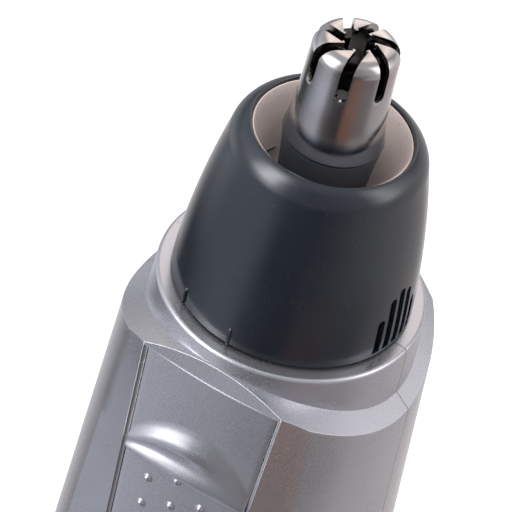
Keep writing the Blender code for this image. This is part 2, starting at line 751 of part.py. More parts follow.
def fan_housing():
    cage = lathe("fan_housing", [
        (2.5, 99.8), (11.1, 99.8), (11.1, 101.0), (8.95, 101.0), (8.95, 112.0), (8.3, 112.0),
        (8.3, 101.6), (7.0, 101.0), (2.5, 101.0)], 28, "black_plastic")
    for k in range(4):
        bm = bmesh.new()
        turn = Matrix.Rotation(math.radians(45 + 90 * k), 3, "Z")
        corners = [(7.6, -4.6), (10.0, -4.6), (10.0, 4.6), (7.6, 4.6)]
        add_rings(bm, [[turn @ Vector((x, y, z)) for x, y in corners] for z in (103.2, 109.8)])
        cut(cage, make_object(f"fan_window_cut_{k + 1}", bm, None))
    return cage


def hair_filter():
    lathe("filter_frame", [(7.3, 112.3), (8.95, 112.3), (8.95, 113.3), (7.3, 113.3)], 24, "black_plastic")
    lathe("filter_mesh", [(2.7, 113.6), (8.7, 113.6), (8.7, 113.9), (2.7, 113.9)], 24, "mesh_steel")


def motor():
    flat = math.asin(MOTOR_FLAT / MOTOR_R)
    outline = []
    for start in (-flat, math.pi - flat):
        for k in range(7):
            a = start + 2 * flat * k / 6
            outline.append((MOTOR_R * math.cos(a), MOTOR_R * math.sin(a)))
    can = prism("motor_can", outline, MOTOR_FOOT, MOTOR_TOP, "plated_steel")
    fuse(can, lathe("motor_boss_add", [(0, 90.0), (3.0, 90.0), (3.0, 92.4), (0, 92.4)], 16))
    cut(can, lathe("motor_bore_cut", [(0, 84.0), (1.1, 84.0), (1.1, 94.0), (0, 94.0)], 12))
    small = [(0.96 * x, 0.96 * y) for x, y in outline]
    prism("motor_end_bell", small, 63.7, MOTOR_FOOT - GAP, "black_plastic")
    lathe("motor_shaft", [(0, 85.0), (MOTOR_SHAFT_R, 85.0), (MOTOR_SHAFT_R, 96.5), (0, 96.5)],
          10, "plated_steel")
    box("motor_terminal_left", (-5.9, -0.2, 61.4), (-4.1, 0.2, 63.4), "brass")
    box("motor_terminal_right", (4.1, -0.2, 61.4), (5.9, 0.2, 63.4), "brass")


# ---------------------------------------------------------------- battery bay

def chassis():
    frame = lathe("chassis", [
        (BAY_R, BAY_FOOT), (BAY_WALL_R, BAY_FOOT), (BAY_WALL_R, BAY_TOP), (12.3, BAY_TOP), (12.3, 60.3),
        (1.7, 60.3), (1.7, BAY_TOP), (BAY_R, BAY_TOP)], 28, "black_plastic")
    for name, side in (("left", -1), ("right", 1)):
        inner, outer = sorted((side * 10.5, side * 12.0))
        fuse(frame, box(f"motor_arm_{name}_add", (inner, -3.0, 59.5), (outer, 3.0, 88.0)))
    cut(frame, box("strip_notch_cut", (-2.4, 9.35, 55.0), (2.4, 14.0, 62.0)))
    cut(frame, box("bay_window_cut", (-4.0, -12.0, 16.0), (4.0, -4.0, 50.0)))
    return frame


def contacts():
    lathe("positive_contact", [
        (0, 56.75), (1.8, 56.75), (4.6, 58.0), (4.6, 58.4), (1.7, 57.15), (0, 57.15)], 16, "brass")
    box("negative_strip", (-2.0, 9.65, 8.0), (2.0, 10.0, 62.8), "brass")
    plate = lathe("negative_plate", [(0, 2.75), (6.4, 2.75), (6.4, 3.1), (0, 3.1)], 16, "brass")
    bm = bmesh.new()
    outline = [(5.0, 2.75), (10.7, 2.75), (10.7, 14.0), (10.35, 14.0), (10.35, 3.1), (5.0, 3.1)]
    add_rings(bm, [[(x, y, z) for y, z in outline] for x in (-1.6, 1.6)])
    fuse(plate, make_object("negative_tab_add", bm, None))
    loft("negative_spring", coil_rings(
        lambda t: 5.4 - 2.2 * t, lambda t: 3.68 + 1.62 * t, 0.25, 3, 10, 4), "plated_steel")


def battery():
    edge = 0.6
    profile = [(0, CELL_FOOT), (CELL_R - edge, CELL_FOOT), (CELL_R, CELL_FOOT + edge),
               (CELL_R, CELL_TOP - edge), (CELL_R - edge, CELL_TOP), (0, CELL_TOP)]
    lathe("battery_cell", profile, 28, "cell_wrap")
    lathe("battery_terminal", [
        (0, CELL_TOP + GAP), (2.7, CELL_TOP + GAP), (2.7, TERMINAL_TOP - 0.2), (2.5, TERMINAL_TOP),
        (0, TERMINAL_TOP)], 16, "plated_steel")


def leads():
    lead("lead_battery", [(0, 0, 57.6), (0, 0, 60.6), (0.6, -3.0, 62.0), (2.1, -7.4, 62.4),
                          (2.1, -8.55, 65.0), (2.1, -8.55, 74.0), (2.1, -8.55, 83.0)], "red_insulation")
    lead("lead_switch", [(-2.1, -8.55, 83.0), (-2.1, -8.55, 74.0), (-2.1, -8.55, 65.0), (-2.8, -7.4, 62.4),
                         (-4.4, -4.5, 61.6), (-5.0, -1.0, 61.8)], "red_insulation")
    lead("lead_return", [(3.2, 10.3, 62.0), (4.6, 8.4, 61.6), (5.2, 5.0, 61.3), (5.2, 2.6, 61.4),
                         (5.0, 1.0, 62.0)], "black_plastic")


def shell_screws():
    for name, x, z in SCREWS:
        head = SCREW_HEAD_Y
        along_y(f"shell_screw_{name}", x, z, [
            (0, -6.6), (0.4, -6.6), (0.8, -5.8), (0.8, head), (1.65, head), (1.65, head + 0.9),
            (1.2, head + 1.3), (0, head + 1.3)], 10, "plated_steel")


def build():
    clear_scene()
    front_shell()
    rear_shell()
    battery_cover()
    cover_seal()
    power_switch()
    switch_works()
    head_cover()
    head_seal()
    intake_funnel()
    blade_neck()
    outer_blade()
    inner_blade()
    drive_line()
    impeller()
    fan_housing()
    hair_filter()
    motor()
    chassis()
    contacts()
    battery()
    leads()
    shell_screws()


build()
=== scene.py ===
"""Looks of the cordless nose hair trimmer: fine meshes, procedural finishes, studio and camera.

Lengths are millimetres unless a name says otherwise; meshes are written in metres.
Heights and places come from the CAD frame; the outlines repeat the part's own rules.
"""
import json
import math

import bmesh
import bpy
from mathutils import Matrix, Vector

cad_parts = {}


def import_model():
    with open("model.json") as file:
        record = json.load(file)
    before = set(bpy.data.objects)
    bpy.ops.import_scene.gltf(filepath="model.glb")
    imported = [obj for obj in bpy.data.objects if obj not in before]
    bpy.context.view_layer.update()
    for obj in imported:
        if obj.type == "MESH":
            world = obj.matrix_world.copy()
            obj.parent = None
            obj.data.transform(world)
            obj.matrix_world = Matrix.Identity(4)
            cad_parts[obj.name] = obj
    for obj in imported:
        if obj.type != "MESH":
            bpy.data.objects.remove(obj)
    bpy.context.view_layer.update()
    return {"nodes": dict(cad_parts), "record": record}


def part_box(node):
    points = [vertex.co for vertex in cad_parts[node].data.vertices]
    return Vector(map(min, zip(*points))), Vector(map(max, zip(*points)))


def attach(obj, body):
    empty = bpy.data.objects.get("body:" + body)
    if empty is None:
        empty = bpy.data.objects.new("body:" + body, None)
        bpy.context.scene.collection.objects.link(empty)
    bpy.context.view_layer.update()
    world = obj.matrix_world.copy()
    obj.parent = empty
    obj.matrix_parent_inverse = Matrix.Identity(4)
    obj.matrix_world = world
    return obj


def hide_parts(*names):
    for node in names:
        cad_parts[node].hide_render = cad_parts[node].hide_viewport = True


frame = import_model()

MM = 0.001


def low(node):
    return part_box(node)[0] / MM


def high(node):
    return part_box(node)[1] / MM


# Heights that the frame gives.
SHELL_FOOT = low("front_shell").z
COLLAR_TOP = high("front_shell").z
NECK_TOP = low("outer_blade").z
TIP_TOP = high("outer_blade").z
HEAD_FOOT = COLLAR_TOP + 0.3
HEAD_SPIGOT_FOOT = low("head_cover").z
COVER_TOP = SHELL_FOOT - 1.4
TONGUE_TOP = high("battery_cover").z
PLATE_FOOT = low("power_switch").z

# Body section, seen from above: flat panel, two facets and round sides.
SEAM_Y = -0.7
SEAM_HALF_GAP = 0.035
SIDE = 15.14
PANEL_Y = 13.65
PANEL_X = 7.7
FACET_X = 10.1
FACET_Y = 12.12
BACK_PANEL_X = 8.0
BACK_FACET_X = 10.9
SHOULDER_Z = 101.7
SWELL_SLOPE = 0.0625
SWELL_MAX = 2.75
SWELL_MAX_Z = 50.0
SWELL_STRAIGHT_Z = 65.0
BASE_SWELL = -1.0
BASE_SWELL_SLOPE = -5.5
BASE_ROUND = 1.6
TONGUE_OUTER = (0.857, 0.735)     # the cover's tongue, as shares of the section: whole, and front half
TONGUE_INNER = (0.765, 0.67)

# Crowned shoulder, lens-shaped bevel and collar.
CROWN_TOP = 102.97
CROWN_RADIUS = 23.3
COLLAR_FOOT_R = 13.78
COLLAR_R = 13.48
COLLAR_ROUND = 0.42
BORE_R = 11.4
BORE_FLOOR = 99.5
LOWER_BORE_R = 10.2
DECK_Z = 97.2
WALL_SCALE = 0.88
FRONT_WALL_SCALE = 0.758
LENS_LEAN = 0.20
PLATE_TOP = 101.0
EDGE_DROP = 0.32              # the shoulder's rounded edge takes this much of its height
BEND_Z = 93.2                 # above this, the shells' rings bend towards the shoulder's line
COLLAR_STEPS = 6

# Switch plate, its recess and the grooves beside it.
GROOVE = 0.42
LEDGE_DEPTH = 0.32
RECESS_DEPTH = 1.5
PLATE_THICK = 1.2
PLATE_CROWN = 0.0045
SWITCH_TRAVEL = 2.5
RECESS_SPARE = 0.4
SWITCH_SLOT = ((-2.6, -16.0, 80.0), (2.6, -10.0, 87.8))
RIDGE_TOP = 94.6
RIDGE_FOOT = 87.9
RIDGE_HEIGHT = 1.1
DOT_R = 0.38
DOT_HEIGHT = 0.36
DOT_ROWS = 6
DOT_ROW_PITCH = 3.6
DOT_ROW_Z = 85.5
DOT_X_PITCH = 3.1
DOT_X = -0.6
DOT_RISE = 1.8

# Head and blade.
HEAD_FOOT_R = 12.06
HEAD_TOP_R = 9.57
HEAD_RIM_R = 7.66
HEAD_TOP_Z = NECK_TOP - 2.06
HEAD_BULGE = 1.5
BAND_TOP = HEAD_FOOT + 1.25
BAND_DEPTH = 0.05
RIM_CENTRE = (6.45, NECK_TOP - 2.5)
RIM_ROUND_R = 3.15
SPIGOT_R = 11.0
SEAL_GROOVE_R = 9.95
RIB_TURNS = (-122.5, -91.8)
RIB_WIDTH = 0.28
RIB_LEVELS = ((0.05, 0.20), (1.5, 0.20), (1.8, 0.15), (1.95, 0.02))    # rise over the foot, rib's height
VENT_WIDTH = 0.9
VENT_PITCH = 6.4
VENT_MIDDLE = -5.9
VENT_HEIGHTS = (4.4, 6.4, 7.0, 6.4, 4.4)
VENT_REACH = (10.2, 13.2)
SLOT_COUNT = 7
SLOT_WIDTH = 1.06
SLOT_OFFSET = 0.87
SLOT_FOOT = NECK_TOP + 6.95
SLOT_TURN = -86.0
SLOT_REACH = (0.9, 7.0)
HALF_TURN = [math.pi * i / 12 for i in range(13)]
BLADE_R = 4.1
BLADE_WALL = 0.55
BLADE_EDGE_R = 1.35
BLADE_HOLE_R = 1.45
CREASE_Z = NECK_TOP + 2.4     # here the blade's flared foot ends

# Shell screws as (x, z), seen from the front.
SCREWS = ((-8.5, 94.6), (8.5, 94.6), (-12.2, 55.3), (12.2, 55.3))
SCREW_HEAD_Y = 6.3
SCREW_HOLE_R = 1.1
SCREW_SINK_R = 2.0
FRONT_POST_R = 2.0
REAR_POST_R = 2.9

EDGE_WIDTH = 0.13             # width of the body's rounded edges
SHELL_SOFT_ANGLE = 24.0       # flatter edges than this, in degrees, aren't rounded
COVER_SOFT_ANGLE = 9.5


# ---- material tools

def new_material(name):
    material = bpy.data.materials.new(name)
    material.use_nodes = True
    tree = material.node_tree
    return material, tree, tree.nodes["Principled BSDF"]


def node(tree, kind, **values):
    made = tree.nodes.new(kind)
    for key, value in values.items():
        setattr(made, key, value)
    return made


def millimetres(tree):
    """Object coordinates, counted in millimetres."""
    place = node(tree, "ShaderNodeTexCoord")
    scale = node(tree, "ShaderNodeVectorMath", operation="SCALE")
    scale.inputs["Scale"].default_value = 1.0 / MM
    tree.links.new(place.outputs["Object"], scale.inputs[0])
    return scale.outputs[0]


def noise(tree, place, size, detail=2.0, stretch=(1, 1, 1)):
    """A noise whose blobs are about size millimetres across."""
    mapping = node(tree, "ShaderNodeMapping")
    mapping.inputs["Scale"].default_value = stretch
    tree.links.new(place, mapping.inputs["Vector"])
    made = node(tree, "ShaderNodeTexNoise")
    made.inputs["Scale"].default_value = 1.0 / size
    made.inputs["Detail"].default_value = detail
    tree.links.new(mapping.outputs[0], made.inputs["Vector"])
    return made.outputs["Fac"]


def flakes(tree, place, size):
    """Random brightness of cells about size millimetres across."""
    made = node(tree, "ShaderNodeTexVoronoi", feature="F1")
    made.inputs["Scale"].default_value = 1.0 / size
    tree.links.new(place, made.inputs["Vector"])
    split = node(tree, "ShaderNodeSeparateColor")
    tree.links.new(made.outputs["Color"], split.inputs[0])
    return split.outputs[0]


def spread(tree, value, from_low, from_high, to_low, to_high):
    """Map a range of value to another range, and clamp it there."""
    made = node(tree, "ShaderNodeMapRange")
    sockets = ("From Min", "From Max", "To Min", "To Max")
    for name, number in zip(sockets, (from_low, from_high, to_low, to_high)):
        made.inputs[name].default_value = number
    tree.links.new(value, made.inputs["Value"])
    return made.outputs[0]


def ramp(tree, value, stops):
    made = node(tree, "ShaderNodeValToRGB")
    elements = made.color_ramp.elements
    while len(elements) < len(stops):
        elements.new(0.5)
    for element, (position, colour) in zip(elements, stops):
        element.position = position
        element.color = (*colour, 1.0)
    tree.links.new(value, made.inputs["Fac"])
    return made.outputs["Color"]


def blend(tree, share, first, second, mode="MIX"):
    """Mix of two colours; share may be a number or a socket."""
    made = node(tree, "ShaderNodeMix", data_type="RGBA", blend_type=mode)
    for name, value in (("Factor", share), ("A", first), ("B", second)):
        socket = made.inputs[name]
        if isinstance(value, (int, float)):
            socket.default_value = value
        elif isinstance(value, tuple):
            socket.default_value = (*value, 1.0)
        else:
            tree.links.new(value, socket)
    return made.outputs["Result"]


def add(tree, first, second, scale=1.0):
    """first + second * scale, as numbers."""
    made = node(tree, "ShaderNodeMath", operation="MULTIPLY_ADD")
    tree.links.new(second, made.inputs[0])
    made.inputs[1].default_value = scale
    tree.links.new(first, made.inputs[2])
    return made.outputs[0]


def coat(tree, shader, colour, rough, metallic=0.0, specular=0.5):
    """Link the colour and the roughness, and set the two numbers of a finish."""
    tree.links.new(colour, shader.inputs["Base Color"])
    tree.links.new(rough, shader.inputs["Roughness"])
    shader.inputs["Metallic"].default_value = metallic
    shader.inputs["Specular IOR Level"].default_value = specular


def bump(tree, shader, height, strength, distance):
    """distance is the height's full range in millimetres."""
    made = node(tree, "ShaderNodeBump")
    made.inputs["Strength"].default_value = strength
    made.inputs["Distance"].default_value = distance * MM
    tree.links.new(height, made.inputs["Height"])
    tree.links.new(made.outputs[0], shader.inputs["Normal"])


# ---- finishes

def silver_paint():
    """Metallic paint: fine flake grain, soft clouds and a faint orange peel."""
    material, tree, shader = new_material("silver_paint")
    place = millimetres(tree)
    grain = flakes(tree, place, 0.11)
    fine = noise(tree, place, 0.22, 2.0)
    cloud = noise(tree, place, 9.0, 3.0)
    tone = ramp(tree, add(tree, spread(tree, cloud, 0.3, 0.7, 0.38, 0.5), grain, 0.07), [
        (0.30, (0.47, 0.47, 0.50)), (0.72, (0.62, 0.62, 0.66))])
    coat(tree, shader, tone, add(tree, spread(tree, cloud, 0.3, 0.7, 0.24, 0.29), grain, 0.05), 0.88)
    peel = noise(tree, place, 1.3, 2.0)
    height = add(tree, add(tree, spread(tree, grain, 0.0, 1.0, 0.0, 0.16), fine, 0.35), peel, 1.2)
    bump(tree, shader, height, 0.06, 0.012)
    return material


def silver_edge_wear_and_highlight():
    """The paint's edges: paler and matt, with a fine grain; rubbed paint together with a painted highlight
    along the edge.
    """
    material, tree, shader = new_material("silver_edge_wear_and_highlight")
    place = millimetres(tree)
    wear = noise(tree, place, 0.8, 3.0)
    # painted highlight: the pale tone, up to 0.9, makes the edges read as bright lines on top of the rubbed
    # paint
    tone = ramp(tree, wear, [(0.3, (0.66, 0.67, 0.70)), (0.6, (0.90, 0.91, 0.94))])
    coat(tree, shader, tone, spread(tree, wear, 0.3, 0.7, 0.45, 0.35), 0.1)
    bump(tree, shader, noise(tree, place, 0.3, 2.0), 0.1, 0.01)
    return material


def slate_plastic():
    """Glossy dark slate moulding with faint ripples, dust and rubbed patches."""
    material, tree, shader = new_material("slate_plastic")
    place = millimetres(tree)
    cloud = noise(tree, place, 7.0, 3.0)
    fine = noise(tree, place, 0.3, 3.0)
    tone = ramp(tree, cloud, [(0.30, (0.007, 0.0105, 0.0155)), (0.70, (0.0105, 0.015, 0.021))])
    dust = spread(tree, noise(tree, place, 0.16, 1.0), 0.74, 0.80, 0.0, 0.35)
    rough = add(tree, spread(tree, cloud, 0.3, 0.7, 0.13, 0.19), fine, 0.05)
    coat(tree, shader, blend(tree, dust, tone, (0.22, 0.23, 0.25)), rough, specular=0.8)
    bump(tree, shader, add(tree, noise(tree, place, 3.0, 1.0), fine, 0.10), 0.10, 0.02)
    return material


def satin_silver():
    """Satin silver lining with faint turned rings and specks; its warm beige tone is a painted reflection of
    the warm light above.
    """
    material, tree, shader = new_material("satin_silver")
    place = millimetres(tree)
    grain = flakes(tree, place, 0.13)
    cloud = noise(tree, place, 3.5, 3.0)
    # painted reflection: the warm beige tone stands for the warm light that the silver lining mirrors
    tone = ramp(tree, add(tree, spread(tree, cloud, 0.3, 0.7, 0.3, 0.5), grain, 0.2), [
        (0.30, (0.66, 0.555, 0.52)), (0.70, (0.80, 0.675, 0.635))])
    speck = spread(tree, noise(tree, place, 0.4, 1.0), 0.76, 0.82, 0.0, 0.6)
    rough = add(tree, spread(tree, cloud, 0.3, 0.7, 0.36, 0.46), grain, 0.08)
    coat(tree, shader, blend(tree, speck, tone, (0.16, 0.13, 0.12)), rough, 0.08)
    bump(tree, shader, add(tree, grain, noise(tree, place, 0.8, 2.0), 1.0), 0.15, 0.01)
    return material


def blade_steel(name="blade_steel", dark=1.0):
    """Polished stainless steel: hairline polishing marks, smudges and a faint warm stain. Painted shade turns
    the flared foot dark blue-grey, and the second argument, below 1, darkens the steel's tones as painted
    shade.
    """
    material, tree, shader = new_material(name)
    place = millimetres(tree)
    hair = noise(tree, place, 0.12, 3.0, stretch=(1, 1, 0.06))
    smudge = noise(tree, place, 2.4, 3.0)
    stain = noise(tree, place, 3.4, 2.0)
    light = tuple(dark * c for c in (0.60, 0.585, 0.58))
    warm = tuple(dark * c for c in (0.50, 0.455, 0.43))
    tone = blend(tree, spread(tree, stain, 0.42, 0.68, 0.0, 0.8), light, warm)
    split = node(tree, "ShaderNodeSeparateXYZ")
    tree.links.new(place, split.inputs[0])
    # painted shade: the flared foot turns dark blue-grey, standing in for its shadow and cancelling the
    # lining's warm reflection
    painted_foot_shade = spread(tree, split.outputs["Z"], NECK_TOP + 2.5, NECK_TOP + 1.7, 0.0, 0.9)
    tone = blend(tree, painted_foot_shade, tone, tuple(dark * c for c in (0.115, 0.145, 0.19)))
    pit = spread(tree, noise(tree, place, 0.25, 1.0), 0.75, 0.8, 0.0, 0.5)
    rough = add(tree, spread(tree, smudge, 0.35, 0.65, 0.09, 0.16), hair, 0.06)
    coat(tree, shader, blend(tree, pit, tone, (0.12, 0.11, 0.11)), rough, 1.0)
    bump(tree, shader, add(tree, hair, smudge, 0.6), 0.12, 0.01)
    return material


def moulded(name, colour, roughness, grain_size=0.35, specular=0.5):
    """Plain moulded plastic or rubber with a fine grain and slightly worn tone."""
    material, tree, shader = new_material(name)
    place = millimetres(tree)
    cloud = noise(tree, place, 5.0, 3.0)
    grain = noise(tree, place, grain_size, 2.0)
    tone = ramp(tree, cloud, [(0.3, tuple(0.8 * c for c in colour)), (0.7, tuple(1.2 * c for c in colour))])
    rough = add(tree, spread(tree, cloud, 0.3, 0.7, roughness - 0.05, roughness), grain, 0.1)
    coat(tree, shader, tone, rough, specular=specular)
    bump(tree, shader, add(tree, grain, cloud, 0.5), 0.2, 0.02)
    return material


def worked_metal(name, colour, roughness):
    """Rolled or turned metal with drawn lines and a little tarnish."""
    material, tree, shader = new_material(name)
    place = millimetres(tree)
    lines = noise(tree, place, 0.15, 3.0, stretch=(1, 1, 0.1))
    tarnish = noise(tree, place, 2.5, 3.0)
    tone = ramp(tree, tarnish, [(0.35, tuple(0.6 * c for c in colour)), (0.6, colour)])
    rough = add(tree, spread(tree, tarnish, 0.3, 0.7, roughness + 0.1, roughness), lines, 0.1)
    coat(tree, shader, tone, rough, 1.0)
    bump(tree, shader, lines, 0.15, 0.01)
    return material


def mesh_steel():
    """Fine woven filter mesh."""
    material, tree, shader = new_material("mesh_steel")
    place = millimetres(tree)
    waves = []
    for direction in ("X", "Y"):
        wave = node(tree, "ShaderNodeTexWave", bands_direction=direction)
        wave.inputs["Scale"].default_value = 0.9
        wave.inputs["Distortion"].default_value = 0.3
        tree.links.new(place, wave.inputs["Vector"])
        waves.append(wave.outputs["Fac"])
    weave = add(tree, waves[0], waves[1])
    tone = ramp(tree, weave, [(0.35, (0.02, 0.02, 0.02)), (0.8, (0.5, 0.5, 0.49))])
    coat(tree, shader, tone, spread(tree, noise(tree, place, 1.0), 0.3, 0.7, 0.3, 0.45), 0.9)
    bump(tree, shader, weave, 0.5, 0.1)
    return material


def cell_wrap():
    """Plain printed film of the cell: dark blue with a copper-coloured end band."""
    material, tree, shader = new_material("cell_wrap")
    place = millimetres(tree)
    split = node(tree, "ShaderNodeSeparateXYZ")
    tree.links.new(place, split.inputs[0])
    band_foot = high("battery_cell").z - 11.0
    band = spread(tree, split.outputs["Z"], band_foot, band_foot + 0.1, 0.0, 1.0)
    cloud = noise(tree, place, 4.0, 3.0)
    blue = ramp(tree, cloud, [(0.3, (0.030, 0.080, 0.150)), (0.7, (0.045, 0.110, 0.190))])
    tone = blend(tree, band, blue, (0.55, 0.30, 0.14))
    coat(tree, shader, tone, spread(tree, cloud, 0.3, 0.7, 0.25, 0.35), 0.3)
    bump(tree, shader, noise(tree, place, 0.8, 2.0), 0.1, 0.01)
    return material


def make_finishes():
    return {
        "silver_paint": silver_paint(),
        "silver_edge_wear_and_highlight": silver_edge_wear_and_highlight(),
        "slate_plastic": slate_plastic(),
        "satin_silver": satin_silver(),
        "blade_steel": blade_steel(),
        # painted shade: the inner blade is the blade steel darkened to 6 percent, as if in the cup's shade
        "shaded_inner_steel": blade_steel("shaded_inner_steel", 0.06),
        "black_plastic": moulded("black_plastic", (0.020, 0.020, 0.022), 0.42),
        "neck_slate": moulded("neck_slate", (0.017, 0.023, 0.033), 0.38),
        "white_plastic": moulded("white_plastic", (0.70, 0.70, 0.68), 0.38),
        "rubber": moulded("rubber", (0.014, 0.014, 0.015), 0.75, 0.2, 0.3),
        "red_insulation": moulded("red_insulation", (0.42, 0.020, 0.018), 0.40),
        "ink": moulded("ink", (0.018, 0.015, 0.016), 0.60, 0.1),
        "plated_steel": worked_metal("plated_steel", (0.56, 0.56, 0.55), 0.24),
        "brass": worked_metal("brass", (0.66, 0.47, 0.18), 0.26),
        "mesh_steel": mesh_steel(),
        "cell_wrap": cell_wrap(),
    }


FINISH = make_finishes()


# ---- mesh tools

def weigh_edges(bm, soft_angle, seam_y=None):
    """Give each sharp outer edge a bevel weight; edges on the parting plane get a smaller one."""
    layer = bm.edges.layers.float.new("bevel_weight_edge")
    for edge in bm.edges:
        if len(edge.link_faces) != 2 or not edge.is_convex:
            continue
        if edge.calc_face_angle(0.0) < math.radians(soft_angle):
            continue
        on_seam = seam_y is not None and all(abs(v.co.y - seam_y) < 0.001 for v in edge.verts)
        edge[layer] = 0.4 if on_seam else 1.0


def mesh_object(name, bm, smooth_angle=35):
    """Turn a bmesh in millimetres into an object in metres."""
    bmesh.ops.recalc_face_normals(bm, faces=bm.faces)
    bmesh.ops.scale(bm, vec=Vector((MM, MM, MM)), verts=bm.verts)
    mesh = bpy.data.meshes.new(name)
    bm.to_mesh(mesh)
    bm.free()
    mesh.shade_smooth()
    mesh.set_sharp_from_angle(angle=math.radians(smooth_angle))
    obj = bpy.data.objects.new(name, mesh)
    bpy.context.scene.collection.objects.link(obj)
    return obj


def skin(bm, rings):
    """Skin equal rings of points, with both ends capped."""
    loops = [[bm.verts.new(point) for point in ring] for ring in rings]
    count = len(loops[0])
    for below, above in zip(loops, loops[1:]):
        for i in range(count):
            j = (i + 1) % count
            bm.faces.new((below[i], below[j], above[j], above[i]))
    bm.faces.new(loops[0][::-1])
    bm.faces.new(loops[-1])


def merge(bm):
    """Join points that coincide, and drop the edges and faces that this leaves without size."""
    bmesh.ops.remove_doubles(bm, verts=bm.verts, dist=0.0005)
    bmesh.ops.dissolve_degenerate(bm, edges=bm.edges, dist=0.0005)


def turned(bm, profile, segments):
    """Turn a closed (radius, z) outline about Z; points with radius 0 become poles."""
    turns = [2 * math.pi * k / segments for k in range(segments)]
    columns = []
    for radius, z in profile:
        if radius == 0:
            columns.append([bm.verts.new((0, 0, z))] * segments)
        else:
            columns.append([bm.verts.new((radius * math.cos(a), radius * math.sin(a), z)) for a in turns])
    for first, second in zip(columns, columns[1:] + columns[:1]):
        for i in range(segments):
            j = (i + 1) % segments
            corners = list(dict.fromkeys((first[i], first[j], second[j], second[i])))
            if len(corners) > 2:
                bm.faces.new(corners)


def lathe(name, profile, segments, smooth_angle=35):
    bm = bmesh.new()
    turned(bm, profile, segments)
    return mesh_object(name, bm, smooth_angle)


def loft(name, rings):
    bm = bmesh.new()
    skin(bm, rings)
    return mesh_object(name, bm)


def arc(cx, cz, radius, start, end, steps):
    """Points on an arc in the (radius, z) plane, angles in degrees."""
    angles = [math.radians(start + (end - start) * k / steps) for k in range(steps + 1)]
    return [(cx + radius * math.cos(a), cz + radius * math.sin(a)) for a in angles]


def along_y(x, z, profile, segments=24):
    """A turned outline about a line along Y through (x, z)."""
    obj = lathe("tool", profile, segments)
    obj.data.transform(Matrix.Rotation(math.radians(-90), 4, "X"))
    obj.data.transform(Matrix.Translation(Vector((x, 0, z)) * MM))
    return obj


def block(low_corner, high_corner):
    x0, y0, z0 = low_corner
    x1, y1, z1 = high_corner
    return loft("tool", [[(x0, y0, z), (x1, y0, z), (x1, y1, z), (x0, y1, z)] for z in (z0, z1)])


def settle(obj):
    """Apply all modifiers and remove the tools they used."""
    tools = [m.object for m in obj.modifiers if getattr(m, "object", None)]
    graph = bpy.context.evaluated_depsgraph_get()
    mesh = bpy.data.meshes.new_from_object(obj.evaluated_get(graph))
    obj.modifiers.clear()
    obj.data = mesh
    for tool in tools:
        bpy.data.objects.remove(tool, do_unlink=True)
    return obj


def boolean(obj, operation, *tools):
    for tool in tools:
        modifier = obj.modifiers.new("boolean", "BOOLEAN")
        modifier.operation = operation
        modifier.solver = "EXACT"
        modifier.object = tool
    return settle(obj)


def cut(obj, *tools):
    return boolean(obj, "DIFFERENCE", *tools)


def fuse(obj, *tools):
    return boolean(obj, "UNION", *tools)


def bevel(obj, width, segments, **limits):
    """Round some edges; the new faces leave the shading of their neighbours alone."""
    modifier = obj.modifiers.new("bevel", "BEVEL")
    modifier.width = width * MM
    modifier.segments = segments
    modifier.use_clamp_overlap = True
    modifier.face_strength_mode = "FSTR_NEW"
    for key, value in limits.items():
        setattr(modifier, key, value)
    return settle(obj)


def bevel_weighted(obj, width):
    """Round the weighted edges; their faces get the second material slot."""
    for finish in ("silver_paint", "silver_edge_wear_and_highlight"):
        obj.data.materials.append(FINISH[finish])
    return bevel(obj, width, 3, limit_method="WEIGHT", material=1)


def shade(obj, angle=35):
    """Smooth shading in which large faces set the normals, so that edges stay crisp."""
    obj.data.shade_smooth()
    obj.data.set_sharp_from_angle(angle=math.radians(angle))
    modifier = obj.modifiers.new("normals", "WEIGHTED_NORMAL")
    modifier.weight = 100
    modifier.keep_sharp = True
    modifier.use_face_influence = True
    return settle(obj)


def place(obj, name, body, finish, slot=None, nodes=()):
    """Name a finished piece, give it its finish and let it ride on its body."""
    obj.name = name
    obj.data.name = name
    if not obj.data.materials:
        obj.data.materials.append(FINISH[finish])
    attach(obj, body)
    if nodes:
        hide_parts(*nodes)
    slot or finish
    return obj


# ---- the body's rules

def hermite(t, start, slope_in, end, slope_out):
    t2 = t * t
    t3 = t2 * t
    return ((2 * t3 - 3 * t2 + 1) * start + (t3 - 2 * t2 + t) * slope_in
            + (3 * t2 - 2 * t3) * end + (t3 - t2) * slope_out)


def swell(z):
    """How much the body is wider than at its shoulder, each way."""
    if z >= SWELL_STRAIGHT_Z:
        return SWELL_SLOPE * (SHOULDER_Z - z)
    edge = SWELL_SLOPE * (SHOULDER_Z - SWELL_STRAIGHT_Z)
    if z >= SWELL_MAX_Z:
        span = SWELL_STRAIGHT_Z - SWELL_MAX_Z
        return hermite((SWELL_STRAIGHT_Z - z) / span, edge, SWELL_SLOPE * span, SWELL_MAX, 0.0)
    return hermite((SWELL_MAX_Z - z) / SWELL_MAX_Z, SWELL_MAX, 0.0, BASE_SWELL, BASE_SWELL_SLOPE)


def panel_half_width(z, at_shoulder=PANEL_X):
    return at_shoulder - 0.45 * max(swell(z), 0.0)


def front_y(z):
    return SEAM_Y - PANEL_Y - swell(z)


def crown(x):
    return CROWN_TOP - CROWN_RADIUS + math.sqrt(CROWN_RADIUS ** 2 - x * x)


SMILE_RISE = crown(PANEL_X) - EDGE_DROP - PLATE_TOP


def smile(x):
    """Height of the line between the switch plate and the bevel above it."""
    return PLATE_TOP + SMILE_RISE * min(abs(x) / PANEL_X, 1.0) ** 2


SIDE_STEPS = 16
FACET_STEPS = 4


